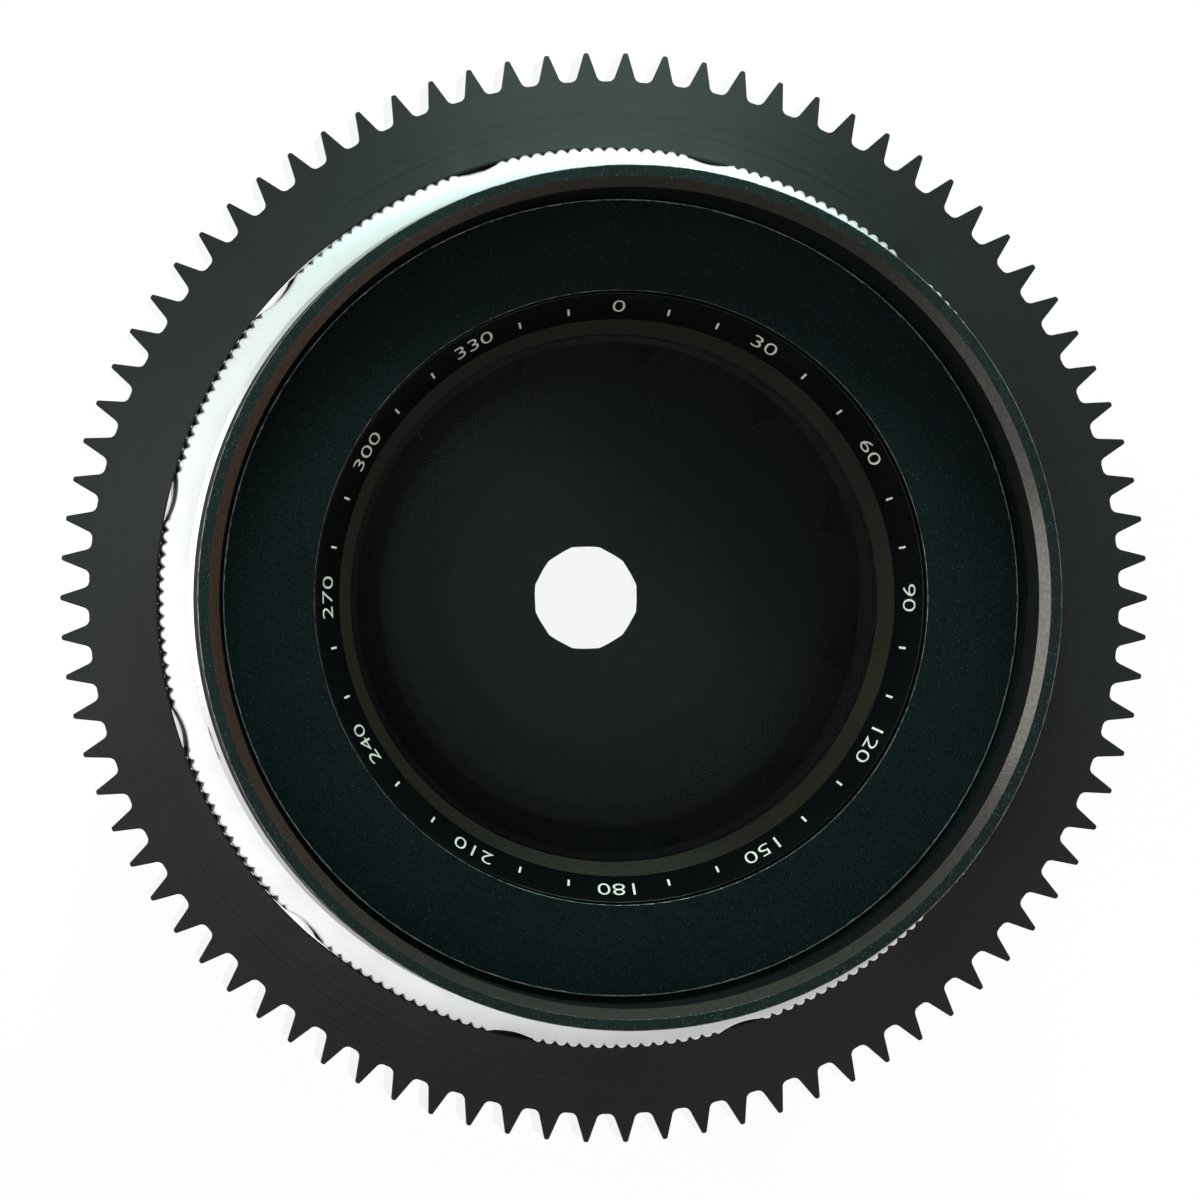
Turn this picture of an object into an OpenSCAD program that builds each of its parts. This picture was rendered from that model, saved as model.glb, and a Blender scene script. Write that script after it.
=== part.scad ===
// Short telephoto prime lens with a follow-focus gear, standing on its rear with the front glass up.
// The optical axis is +Z, and z = 0 is the flange face that seats on the camera.
// All sizes are millimetres; angles are degrees, counter-clockwise seen from the front.

/* [Optics] */
// Distance from the flange face to the picture plane
flange_focal = 45.46; // [44:0.02:47]
// Distance from the rear glass to the picture plane at infinity
back_focus = 89.4; // [86:0.1:93]
// Radius of the front face of the front element
front_curve = 45; // [42:0.5:52]
// Radius of the hollow rear face of the front element
front_rear_curve = 330; // [250:5:500]
// Edge radius of the front element
front_glass_r = 17.6; // [17.3:0.05:17.8]
// Centre thickness of the front element
front_glass_t = 6; // [5.4:0.1:6.6]
// Air between the front element and the doublet
front_air = 0.5; // [0.4:0.05:0.8]
// Radius of the front face of the doublet
crown_curve = 31; // [29.5:0.5:34]
// Radius of the cemented face inside the doublet
cement_curve = 200; // [150:5:300]
// Radius of the hollow rear face of the doublet
flint_curve = 19.1; // [18:0.1:21]
// Centre thickness of the crown of the doublet
crown_t = 7; // [6.6:0.1:7.6]
// Centre thickness of the flint of the doublet
flint_t = 3; // [2.6:0.1:3.4]
// Width of the ledge that the front element seats on, in to the edge of the doublet
front_seat_w = 1.3; // [1.1:0.05:1.6]
// Width of the flat land round the hollow in the doublet's rear face
flint_land_w = 3.8; // [3.2:0.1:4.2]
// Air between the doublet and the rear element, which holds the iris
iris_air = 16; // [15:0.1:18]
// Radius of the front face of the rear element, whose rear face is flat
rear_curve = 132; // [110:1:160]
// Centre thickness of the rear element
rear_glass_t = 3.5; // [3.1:0.1:4]
// Edge radius of the rear element
rear_glass_r = 12.5; // [12.2:0.05:12.8]

/* [Iris] */
// Number of iris blades
blade_count = 12; // [10:1:14]
// Radius of the iris fully open
iris_open_r = 12.1; // [11.8:0.05:12.3]
// Inner radius of the iris at rest, stopped down
iris_rest_r = 2.38; // [1.8:0.02:3.6]
// Distance from the wall of the iris chamber in to the blade pivots
pivot_inset = 2.6; // [2.4:0.05:2.8]
// Angle along a blade from its pivot pin to its drive pin
blade_span = 135; // [131:0.5:139]
// Sheet thickness of a blade
blade_t = 0.08; // [0.05:0.01:0.1]
// Height that a blade climbs in one full turn
blade_climb = 9; // [8.4:0.1:9.6]
// Radius of the pins on a blade
blade_pin_r = 0.45; // [0.35:0.01:0.5]
// Thickness of the slotted iris plate
cam_plate_t = 0.8; // [0.6:0.05:1]
// Thickness of the plate that holds the blade pivots
base_plate_t = 1; // [0.8:0.05:1.4]

/* [Front] */
// Depth of the front element's crown behind the front rim
rim_depth = 11.6; // [10.8:0.1:12.4]
// Wall of the step-up ring round its accessory thread
step_wall = 1.4; // [1.2:0.05:2]
// Width of the flat floor of the step-up ring, out to the accessory thread
floor_w = 6.2; // [5.8:0.02:6.4]
// Depth of the flat floor of the step-up ring
floor_depth = 8.05; // [7.4:0.05:8.3]
// Thickness of the floor of the step-up ring
floor_t = 1.5; // [1.2:0.1:1.6]
// Wall of the step-up ring's spigot, out to the lens's own accessory thread
spigot_step_w = 0.85; // [0.7:0.01:1.1]
// Depth of the name ring's front edge
name_top_depth = 9.2; // [8.9:0.02:9.6]
// Height of the name ring's cone
name_cone_h = 2.6; // [2.3:0.05:2.9]
// Width of the name ring's cone
name_w = 1.75; // [1.6:0.01:1.9]
// Width of the clamp ring's lap over the front glass
clamp_w = 0.84; // [0.7:0.02:1.2]

/* [Aperture ring] */
// Wall of the journal that the aperture ring turns on
journal_wall = 3.9; // [3.5:0.1:4.3]
// Wall of the aperture ring's front skirt
aperture_wall = 1.45; // [1.2:0.05:1.75]
// Ribs round the aperture ring's grip
aperture_ribs = 120; // [80:10:160]
// Depth of those ribs
aperture_rib_h = 0.25; // [0.15:0.05:0.35]
// Radius of the screw that drives the iris
drive_screw_r = 1.1; // [0.8:0.05:1.2]

/* [Focus ring] */
// Distance from the front rim back to the front edge of the grip
grip_setback = 17.8; // [17.5:0.05:18.4]
// Length of the ribbed grip
grip_len = 29; // [26:0.5:32]
// Wall of the focus ring under its ribs
grip_wall = 2.04; // [1.8:0.02:2.3]
// Height of the grip's ribs
grip_rib_h = 0.36; // [0.24:0.02:0.5]
// Ribs round the grip
grip_ribs = 228; // [180:12:240]
// Smooth flutes round the grip
grip_flutes = 12; // [8:1:14]
// Radius of the cutter of a flute
flute_r = 2.3; // [1.8:0.1:2.8]
// Depth of a flute below the foot of the ribs
flute_depth = 0.49; // [0.3:0.01:0.7]
// Angle of the first flute
flute_start = 17.3; // [0:0.1:30]
// Length of the plain band with the distance scale
scale_len = 10; // [9:0.5:12]
// Wall of the distance scale band
scale_wall = 1.4; // [1.2:0.05:1.7]
// Angle through which the focus ring turns
focus_turn = 270; // [200:5:300]
// Distance that the optics move forward
focus_travel = 15; // [12:0.5:16]

/* [Follow-focus gear] */
// Distance from the front rim back to the gear's front face
gear_setback = 22; // [21:0.1:23]
// Width of the gear
gear_w = 11; // [8:0.5:14]
// Number of gear teeth
gear_teeth = 86; // [84:1:90]
// Module of the gear
gear_module = 0.8; // [0.79:0.005:0.82]

/* [Barrel] */
// Wall of the optical tube round the iris
tube_wall = 2.85; // [2.5:0.05:3.3]
// Wall of the threaded ring that moves the optics
helicoid_wall = 1.9; // [1.7:0.05:2.2]
// Wall of the fixed barrel's sleeve
sleeve_wall = 1.25; // [1.1:0.05:1.5]
// Step from the sleeve out to the fixed barrel's widest part
barrel_step = 1.2; // [1:0.05:1.6]
// Length of the straight band behind the depth scale ring
barrel_band_len = 7.8; // [6:0.1:9]
// Wall of the fixed barrel round the mount
barrel_rear_wall = 1.5; // [1.3:0.05:1.8]
// Wall of the depth scale ring
depth_ring_wall = 1.58; // [1.4:0.02:1.9]
// Length of the depth scale ring
depth_ring_len = 9; // [7:0.5:11]
// Width of a guide key
key_w = 3; // [2:0.1:4]
// Length of a guide key
key_len = 6; // [4:0.2:6.5]

/* [Mount] */
// Outer radius of the camera thread
mount_r = 21; // [20.5:0.05:21.5]
// Length of the camera thread behind the flange
mount_len = 4.8; // [4:0.1:6]
// Wall under the camera thread, in to the throat
mount_wall = 2.5; // [2:0.1:3.5]
// Step from the barrel in to the edge of the flange
flange_inset = 0.62; // [0.4:0.02:1]
// Thickness of the flange
flange_t = 2.5; // [2:0.1:3]
// Length of the spigot that carries the mount in the barrel
spigot_len = 3.5; // [3.2:0.1:4]
// Wall of that spigot
spigot_wall = 1.5; // [1.3:0.05:1.8]

/* [Hidden] */
$fn = 96;
// Clearances: a seated fit, a running fit, a free gap and an end gap between turning faces
fit = 0.02;
run = 0.05;
free = 0.1;
endplay = 0.1;
eps = 0.01;

function sag(curve, r) = curve - sqrt(curve * curve - r * r);
// Sides of a circle so that each is about 0.4 mm long and one corner lies on the axis
function arc_steps(curve) = 4 * ceil(4 * curve);
function polar(r, a) = [r * cos(a), r * sin(a)];
function turned(p, a) = [p[0] * cos(a) - p[1] * sin(a), p[0] * sin(a) + p[1] * cos(a)];

// Heights of the glass vertices, from the flange up
z_rear_back = back_focus - flange_focal;
z_rear_front = z_rear_back + rear_glass_t;
z_flint = z_rear_front + iris_air;
z_cement = z_flint + flint_t;
z_crown = z_cement + crown_t;
z_front_back = z_crown + front_air;
z_front = z_front_back + front_glass_t;
cement_t = 0.01;
z_rim = z_front + rim_depth;

// Radii of the front glass and of the pieces that nest round it, from the inside out
doublet_r = front_glass_r - front_seat_w;
flint_dish_r = doublet_r - flint_land_w;
front_clear_r = front_glass_r - clamp_w;
retainer_wall = 0.35;
retainer_r = front_glass_r + retainer_wall;
name_lap = 0.3;
name_in_r = retainer_r - name_lap;
step_bore_r = name_in_r + name_w;
own_thread_r = step_bore_r + spigot_step_w;
filter_r = step_bore_r + floor_w;
step_r = filter_r + step_wall;
cell_wall = 0.85;
cell_r = front_glass_r + cell_wall + run;
skirt_wall = 0.9;
skirt_in = cell_r + free;
skirt_out = skirt_in + skirt_wall;
tube_bore = skirt_out + free;
tube_r = tube_bore + tube_wall;
thread_r = tube_r + run;
guide_play = 0.5;
guide_bore_r = thread_r + guide_play;
spigot_r = guide_bore_r + spigot_wall;
barrel_rear_r = spigot_r + fit + barrel_rear_wall;
neck_r = thread_r + helicoid_wall;
journal_step = 0.7;
helicoid_r = neck_r + journal_step;
barrel_bore_r = helicoid_r + run;
sleeve_r = barrel_bore_r + sleeve_wall;
barrel_r = sleeve_r + barrel_step;
depth_ring_r = sleeve_r + fit + depth_ring_wall;
skirt_bore = sleeve_r + free;
scale_r = skirt_bore + scale_wall;
grip_root_r = skirt_bore + grip_wall;
grip_tip_r = grip_root_r + grip_rib_h;
flute_floor_r = grip_root_r - flute_depth;

// Step-up ring, name ring and the face that the front cell seats on
z_floor = z_rim - floor_depth;
z_step_back = z_floor - floor_t;
z_name_top = z_rim - name_top_depth;
z_name_low = z_name_top - name_cone_h;
rim_lead = 0.7;
floor_groove_w = 0.4;
floor_groove_h = 0.4;
relief_h = 0.8;
relief_w = 0.35;
grip_grooves = 4;
grip_groove_pitch = 1.3;
grip_groove_w = 0.6;
grip_groove_h = 0.25;
name_flange_t = 0.75;
name_play = 0.07;
name_out_r = step_bore_r - name_play;
name_flange_r = own_thread_r - run;
z_spigot_low = z_name_low + name_flange_t + endplay;
cell_flange_t = 0.8;
z_cell_top = z_name_low - endplay;
z_tube_front = z_cell_top - cell_flange_t;

// Front cell and the glass that it holds
glass_gap = 0.05;
z_front_seat = z_front_back - sag(front_rear_curve, front_glass_r) - glass_gap;
z_retainer = z_front - sag(front_curve, front_clear_r) + glass_gap;
retainer_steps = 8;
cell_lip_t = 0.8;
cell_lip_in = 0.7;
z_flint_flat = z_flint - sag(flint_curve, flint_dish_r);
z_cell_low = z_flint_flat - glass_gap - cell_lip_t;
spacer_wall = 0.45;
cell_lip_r = doublet_r - cell_lip_in - spacer_wall;
z_spacer_low = z_crown - sag(crown_curve, doublet_r - spacer_wall) + glass_gap;
z_spacer_top = z_front_back - sag(front_rear_curve, doublet_r) - glass_gap;

// Iris: the blades are arcs centred on the axis when open, and swing in about their pivots
blade_pivot_r = tube_bore - pivot_inset;
blade_swing = 2 * asin((iris_open_r - iris_rest_r) / (2 * blade_pivot_r));
ring_throw = 2 * blade_swing;
pin_margin = 0.2;
tab_margin = 0.35;
blade_out_r = blade_pivot_r - blade_pin_r - pin_margin;
blade_tab_r = blade_pin_r + tab_margin;
tab_angle = asin(blade_tab_r / blade_pivot_r);
heel_angle = 5;
blade_steps = 26;
blade_start = -(90 + blade_swing / 2);
blade_gap = 0.25;
cam_gap = 0.3;
z_cam_top = z_cell_low - cam_gap;
z_cam_low = z_cam_top - cam_plate_t;
z_blade_drive = z_cam_low - blade_gap;
z_blade_pivot = z_blade_drive - blade_climb * blade_span / 360;
z_base_top = z_blade_pivot - blade_t / 2 - blade_gap;
z_base_low = z_base_top - base_plate_t;
plate_margin = 0.2;
iris_plate_in = iris_open_r + plate_margin;
spacer_play = 0.3;
spacer_in = blade_pivot_r + blade_tab_r + spacer_play;
slot_steps = 10;
pin_share = 0.9;

// Aperture ring, the journal that it turns on and the screw that drives the iris
journal_r = tube_bore + journal_wall;
tube_flange_t = 2.6;
z_cover_low = z_tube_front + fit;
z_cover_top = z_step_back - fit;
aperture_gap = 0.3;
z_grip = z_rim - grip_setback;
bevel_h = 0.26;
bevel_w = 1.1;
z_focus_front = z_grip + bevel_h;
z_aperture_low = z_focus_front + aperture_gap;
cover_lip_t = 2;
z_aperture_top = z_cover_top - cover_lip_t;
aperture_rib_len = 2.4;
z_journal_low = z_aperture_low - endplay;
z_journal_top = z_cover_low - endplay;
drive_lift = 0.05;
z_drive = (z_journal_low + z_journal_top) / 2 + drive_lift;
drive_angle = 200;
drive_play = 0.15;
drive_sink = 0.6;
cover_ledge_w = 2.1;
cover_low_r = journal_r + cover_ledge_w;
cover_step = 0.15;
aperture_skirt_in = cover_low_r + cover_step;
aperture_r = aperture_skirt_in + aperture_wall;
cover_inset = 0.6;
cover_r = aperture_r - cover_inset;
cell_flange_inset = 1.5;
cell_flange_r = journal_r - cell_flange_inset;
cover_screw_r = 0.45;
cover_screw_at = (cell_flange_r + run + journal_r) / 2;
cover_screw_len = 3.6;
cover_head_r = 0.95;
cover_head_h = 0.8;
cover_head_sink = 0.2;
cover_slot_w = 0.3;
cover_slot_h = 0.3;

// Focus ring, helicoid and fixed barrel
bevel_in_r = grip_root_r - bevel_w;
z_grip_low = z_grip - grip_len;
z_focus_low = z_grip_low - scale_len;
z_gear = z_rim - gear_setback;
gear_bore_r = grip_tip_r + run;
sleeve_end_gap = 1;
z_sleeve_top = z_grip_low - sleeve_end_gap;
keeper_h = 2;
z_keeper_low = z_sleeve_top - keeper_h;
z_neck = z_keeper_low - endplay;
helicoid_drop = 4;
z_helicoid_low = z_focus_low - helicoid_drop;
helicoid_reach = 15;
z_helicoid_top = z_grip_low + helicoid_reach;
z_shoulder = z_helicoid_low - endplay;
tube_flange_w = 0.8;
tube_flange_r = neck_r + tube_flange_w;
recess_play = 0.3;
focus_recess_r = tube_flange_r + recess_play;
depth_gap = 0.4;
z_depth_top = z_focus_low - depth_gap;
z_depth_low = z_depth_top - depth_ring_len;
z_band_low = z_depth_low - barrel_band_len;
z_spigot_top = flange_t + spigot_len;
web_t = 4;
z_web_top = z_base_low - fit;
z_web_low = z_web_top - web_t;
skirt_depth = 2.15;
tube_skirt_in = tube_r - skirt_depth;
key_drop = 0.4;
z_key_top = z_shoulder - key_drop;
key_depth = 1.6;
key_play = 0.1;
key_slot_over = 0.6;
// The tube's skirt still holds the whole key when the optics are fully forward
key_cover = 1;
z_tube_low = z_key_top - key_len - focus_travel - key_cover;
stop_pin_r = 0.5;
stop_pin_h = 1.3;
stop_margin = 1.1;
stop_at_r = guide_bore_r + stop_margin;
stop_play = 0.1;
stop_depth = 0.4;
stop_slack = 0.5;
stop_angle = 90;

// Headless screws: how far each end lies below the surface that it starts from
screw_r = 0.8;
screw_bite = 0.9;
screw_sink = 0.3;
hole_over = 1;

// Rear cell
rear_cell_wall = 1.6;
rear_cell_r = rear_glass_r + rear_cell_wall + run;
web_bore_r = rear_cell_r + fit;
rear_clear_w = 0.6;
rear_clear_r = rear_glass_r - rear_clear_w;
z_rear_seat = z_rear_front - sag(rear_curve, rear_glass_r) + glass_gap;
rear_cell_flange_t = 1.2;
rear_cell_flange_w = 2.3;
rear_cell_flange_r = rear_cell_r + rear_cell_flange_w;
rear_cell_root = 0.8;
rear_cell_inset = 1;
z_rear_cell_top = z_web_top - rear_cell_inset;
rear_keeper_h = 1.4;
rear_keeper_wall = 0.9;
z_rear_keeper_top = z_rear_back - glass_gap;
z_rear_keeper_low = z_rear_keeper_top - rear_keeper_h;

// Camera thread
throat_r = mount_r - mount_wall;
flange_r = barrel_rear_r - flange_inset;

// Gear tooth, from standard proportions, thinned for free running on a drive pinion
gear_pitch_r = gear_teeth * gear_module / 2;
gear_tip_r = gear_pitch_r + gear_module;
gear_root_r = gear_pitch_r - 1.3 * gear_module;
tooth_tip_half = 0.22 * gear_module;
tooth_base_half = 0.92 * gear_module;
tooth_root_half = 1.12 * gear_module;
tooth_base_h = 0.22 * gear_module;
gear_edge = 0.15;

blade_names = [for (k = [1:blade_count]) str("iris_blade_", k)];

// A turned ring: its wall between two radii and two heights
module ring(r_in, r_out, z_low, z_top) {
    translate([0, 0, z_low]) difference() {
        cylinder(r = r_out, h = z_top - z_low);
        translate([0, 0, -eps]) cylinder(r = r_in, h = z_top - z_low + 2 * eps);
    }
}

// A turned piece from its section in [radius, height] points
module turned_piece(section) {
    rotate_extrude() polygon(section);
}

// A disc from the axis out, used as a cutter
module disc(r, z_low, z_top) {
    translate([0, 0, z_low]) cylinder(r = r, h = z_top - z_low);
}

// Half of a glass element's section, inside its edge radius, bounded in front by a ball
module glass_section(edge_r, curve, z_pole, z_low) {
    intersection() {
        translate([0, z_low]) square([edge_r, z_pole - z_low + 1]);
        ball_below(curve, z_pole);
    }
}

// Section of a ball whose front pole stands at the given height
module ball_below(curve, z_pole) {
    translate([0, z_pole - curve]) circle(r = curve, $fn = arc_steps(curve));
}

// A pin that lies along a radius, between two distances from the axis
module radial_pin(r, from_r, to_r, z, a) {
    rotate([0, 0, a]) translate([from_r, 0, z]) rotate([0, 90, 0])
        cylinder(r = r, h = to_r - from_r, $fn = 32);
}

// Headless screws along radii, each with a driver slot in its outer end
module grub_screws(r, from_r, to_r, z, angles) {
    slot_w = r * 0.4;
    slot_h = r * 0.6;
    for (a = angles) difference() {
        radial_pin(r, from_r, to_r, z, a);
        rotate([0, 0, a]) translate([to_r - slot_h, -slot_w / 2, z - r * 2])
            cube([slot_h * 2, slot_w, r * 4]);
    }
}

// Holes for those screws
module grub_holes(r, from_r, to_r, z, angles) {
    for (a = angles) radial_pin(r + fit, from_r, to_r, z, a);
}

// An outline of straight ribs: crests and roots take turns round the circle
module ribbed_disc(root_r, tip_r, ribs) {
    polygon([for (k = [0:2 * ribs - 1]) polar(k % 2 == 0 ? tip_r : root_r, k * 180 / ribs)]);
}

mount_screw_angles = [30, 150, 270];
scale_screw_angles = [60, 150, 240];
focus_screw_angles = [45, 165, 285];
cover_screw_angles = [20, 260, 320];
key_angles = [0, 180];
z_mount_screw = flange_t + spigot_len / 2;
z_scale_screw = z_depth_low + depth_ring_len / 3;
focus_screw_drop = 2.6;
z_focus_screw = z_helicoid_top - focus_screw_drop;
z_key_screw = z_key_top - key_len / 2;

// Fixed barrel and mount

module camera_mount() {
    chamfer = 0.5;
    color("silver") difference() {
        turned_piece([
            [throat_r, -mount_len], [mount_r - chamfer, -mount_len], [mount_r, chamfer - mount_len],
            [mount_r, 0], [flange_r, 0], [flange_r, flange_t - fit], [spigot_r, flange_t - fit],
            [spigot_r, z_spigot_top], [guide_bore_r, z_spigot_top], [guide_bore_r, flange_t - fit],
            [throat_r, flange_t - fit]
        ]);
        grub_holes(screw_r, guide_bore_r - hole_over, spigot_r + hole_over, z_mount_screw,
            mount_screw_angles);
    }
}

module mount_screws() {
    color("dimgray")
        grub_screws(screw_r, guide_bore_r + fit, barrel_rear_r - screw_sink, z_mount_screw,
            mount_screw_angles);
}

module fixed_barrel() {
    edge = 0.4;
    pocket_low = z_shoulder - stop_pin_h - stop_depth;
    stop_half = asin(stop_pin_r / stop_at_r) + stop_slack;
    color("#1c1d1f") difference() {
        turned_piece([
            [spigot_r + fit, flange_t], [barrel_rear_r - edge, flange_t], [barrel_rear_r, flange_t + edge],
            [barrel_rear_r, z_spigot_top], [barrel_r, z_band_low], [barrel_r, z_depth_low - fit],
            [sleeve_r, z_depth_low - fit], [sleeve_r, z_sleeve_top], [barrel_bore_r, z_sleeve_top],
            [barrel_bore_r, z_shoulder], [guide_bore_r, z_shoulder], [guide_bore_r, z_spigot_top + fit],
            [spigot_r + fit, z_spigot_top + fit]
        ]);
        // Groove in which the stop pin of the focus ring runs from one end to the other
        rotate([0, 0, stop_angle - stop_half]) translate([0, 0, pocket_low])
            rotate_extrude(angle = focus_turn + 2 * stop_half)
                translate([stop_at_r - stop_pin_r - stop_play, 0])
                    square([2 * (stop_pin_r + stop_play), z_shoulder - pocket_low + eps]);
        grub_holes(screw_r, spigot_r - hole_over, barrel_rear_r + hole_over, z_mount_screw,
            mount_screw_angles);
        grub_holes(screw_r, sleeve_r - screw_bite - fit, sleeve_r + hole_over, z_scale_screw,
            scale_screw_angles);
        grub_holes(screw_r, guide_bore_r - hole_over, sleeve_r + hole_over, z_key_screw, key_angles);
    }
}

module depth_scale_ring() {
    edge = 0.35;
    color("gainsboro") difference() {
        turned_piece([
            [sleeve_r + fit, z_depth_low], [depth_ring_r - edge, z_depth_low],
            [depth_ring_r, z_depth_low + edge], [depth_ring_r, z_depth_top - edge],
            [depth_ring_r - edge, z_depth_top], [sleeve_r + fit, z_depth_top]
        ]);
        grub_holes(screw_r, sleeve_r - hole_over, depth_ring_r + hole_over, z_scale_screw,
            scale_screw_angles);
    }
}

module scale_ring_screws() {
    color("dimgray")
        grub_screws(screw_r, sleeve_r - screw_bite, depth_ring_r - screw_sink, z_scale_screw,
            scale_screw_angles);
}

module guide_keys() {
    color("darkgoldenrod") for (a = key_angles) rotate([0, 0, a]) difference() {
        intersection() {
            ring(tube_r - key_depth, guide_bore_r - fit, z_key_top - key_len, z_key_top);
            translate([0, -key_w / 2, z_key_top - key_len - 1]) cube([guide_bore_r + 1, key_w, key_len + 2]);
        }
        radial_pin(screw_r + fit, guide_bore_r - screw_bite - fit, guide_bore_r + hole_over, z_key_screw, 0);
    }
}

module guide_key_screws() {
    color("dimgray")
        grub_screws(screw_r, guide_bore_r - screw_bite, sleeve_r - screw_sink, z_key_screw, key_angles);
}

module helicoid_keeper() {
    notch_w = 1.6;
    notch_h = 0.7;
    color("#8a7440") difference() {
        ring(neck_r + run, barrel_bore_r - fit, z_keeper_low, z_sleeve_top);
        for (a = [0, 180]) rotate([0, 0, a])
            translate([0, -notch_w / 2, z_sleeve_top - notch_h])
                cube([barrel_bore_r + 1, notch_w, notch_h + 1]);
    }
}

// Focus ring and what turns with it

module focus_ring() {
    neck_bore = neck_r + fit;
    face_r = grip_root_r - 0.04;
    edge = 0.4;
    color("gainsboro") difference() {
        union() {
            translate([0, 0, z_grip_low]) linear_extrude(height = grip_len)
                ribbed_disc(grip_root_r, grip_tip_r, grip_ribs);
            turned_piece([
                [0, z_grip - 1], [face_r, z_grip - 1], [face_r, z_grip],
                [bevel_in_r, z_focus_front], [0, z_focus_front]
            ]);
            turned_piece([
                [0, z_focus_low], [scale_r - edge, z_focus_low], [scale_r, z_focus_low + edge],
                [scale_r, z_grip_low + 1], [0, z_grip_low + 1]
            ]);
        }
        for (k = [0:grip_flutes - 1]) rotate([0, 0, flute_start + k * 360 / grip_flutes])
            translate([flute_floor_r + flute_r, 0, z_grip_low - eps])
                cylinder(r = flute_r, h = grip_len + bevel_h + 2 * eps, $fn = 32);
        disc(skirt_bore, z_focus_low - 1, z_grip_low);
        disc(neck_bore, z_focus_low, z_focus_front + 1);
        disc(focus_recess_r, z_helicoid_top + fit, z_focus_front + 1);
        grub_holes(screw_r, neck_r - hole_over, grip_tip_r + hole_over, z_focus_screw, focus_screw_angles);
    }
}

module helicoid_ring() {
    color("#b08d3c") difference() {
        turned_piece([
            [thread_r, z_helicoid_low], [helicoid_r, z_helicoid_low], [helicoid_r, z_neck], [neck_r, z_neck],
            [neck_r, z_helicoid_top], [thread_r, z_helicoid_top]
        ]);
        grub_holes(screw_r, neck_r - screw_bite - fit, neck_r + hole_over, z_focus_screw, focus_screw_angles);
        rotate([0, 0, stop_angle]) translate([stop_at_r, 0, z_helicoid_low - eps])
            cylinder(r = stop_pin_r + fit, h = 2 * stop_pin_h, $fn = 32);
    }
}

module focus_ring_screws() {
    color("dimgray")
        grub_screws(screw_r, neck_r - screw_bite, flute_floor_r - screw_sink, z_focus_screw,
            focus_screw_angles);
}

module focus_stop_pin() {
    color("lightslategray") rotate([0, 0, stop_angle])
        translate([stop_at_r, 0, z_helicoid_low - stop_pin_h])
            cylinder(r = stop_pin_r, h = 3 * stop_pin_h, $fn = 32);
}

// The points of one gear tooth, from its left root to its right root
function tooth(k) = let (a = k * 360 / gear_teeth) [
    for (p = [
        [gear_root_r, -tooth_root_half], [gear_root_r + tooth_base_h, -tooth_base_half],
        [gear_tip_r, -tooth_tip_half], [gear_tip_r, tooth_tip_half],
        [gear_root_r + tooth_base_h, tooth_base_half], [gear_root_r, tooth_root_half]
    ]) turned(p, a)
];

module follow_focus_gear() {
    color("#26282a") translate([0, 0, z_gear - gear_w]) difference() {
        linear_extrude(height = gear_w) polygon([for (k = [0:gear_teeth - 1]) each tooth(k)]);
        translate([0, 0, -eps]) cylinder(r = gear_bore_r, h = gear_w + 2 * eps);
        // Broken edges of the bore, front and rear
        translate([0, 0, gear_w - gear_edge]) cylinder(r1 = gear_bore_r, r2 = gear_bore_r + gear_edge + eps,
            h = gear_edge + eps);
        translate([0, 0, -eps]) cylinder(r1 = gear_bore_r + gear_edge + eps, r2 = gear_bore_r,
            h = gear_edge + eps);
    }
}

// Optical block, which slides along the axis

module optical_tube() {
    slot_h = 2 * (drive_screw_r + drive_play);
    slot_half = asin((drive_screw_r + drive_play + free) / tube_bore);
    key_slot_w = key_w + 2 * key_play;
    color("#17181a") difference() {
        union() {
            ring(tube_skirt_in, tube_r, z_tube_low, z_web_low + eps);
            ring(web_bore_r, tube_r, z_web_low, z_web_top);
            ring(tube_bore, tube_r, z_web_top - eps, z_journal_low);
            ring(tube_bore, tube_flange_r, z_journal_low - tube_flange_t, z_journal_low);
            ring(tube_bore, journal_r, z_journal_low - eps, z_tube_front);
        }
        for (a = key_angles) rotate([0, 0, a])
            translate([tube_skirt_in - 1, -key_slot_w / 2, z_tube_low - 1])
                cube([skirt_depth + 2, key_slot_w, z_key_top + key_slot_over - z_tube_low + 1]);
        // Slot in which the drive screw travels from the rest stop to the open stop
        rotate([0, 0, drive_angle - ring_throw - slot_half]) translate([0, 0, z_drive - slot_h / 2])
            rotate_extrude(angle = ring_throw + 2 * slot_half)
                translate([tube_bore - 1, 0]) square([journal_wall + 2, slot_h]);
        for (a = cover_screw_angles) rotate([0, 0, a])
            translate([cover_screw_at, 0, z_tube_front - cover_screw_len])
                cylinder(r = cover_screw_r + fit, h = cover_screw_len + 1, $fn = 32);
    }
}

module front_cell() {
    bore = doublet_r + run;
    color("#1a1b1d") turned_piece([
        [cell_lip_r, z_cell_low], [cell_r, z_cell_low], [cell_r, z_tube_front + fit],
        [cell_flange_r, z_tube_front + fit], [cell_flange_r, z_cell_top], [retainer_r + run, z_cell_top],
        [retainer_r + run, z_retainer - fit], [front_glass_r + run, z_retainer - fit],
        [front_glass_r + run, z_front_seat], [bore, z_front_seat], [bore, z_cell_low + cell_lip_t],
        [cell_lip_r, z_cell_low + cell_lip_t]
    ]);
}

module front_element() {
    color("#5a7f88", 0.5) rotate_extrude() difference() {
        glass_section(front_glass_r, front_curve, z_front, z_front_seat);
        ball_below(front_rear_curve, z_front_back);
    }
}

module doublet_crown() {
    color("#5a7f88", 0.5) rotate_extrude() difference() {
        glass_section(doublet_r, crown_curve, z_crown, z_flint_flat);
        ball_below(cement_curve, z_cement + cement_t);
    }
}

module doublet_flint() {
    color("#6a7788", 0.5) rotate_extrude() difference() {
        glass_section(doublet_r, cement_curve, z_cement, z_flint_flat);
        ball_below(flint_curve, z_flint);
    }
}

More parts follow.
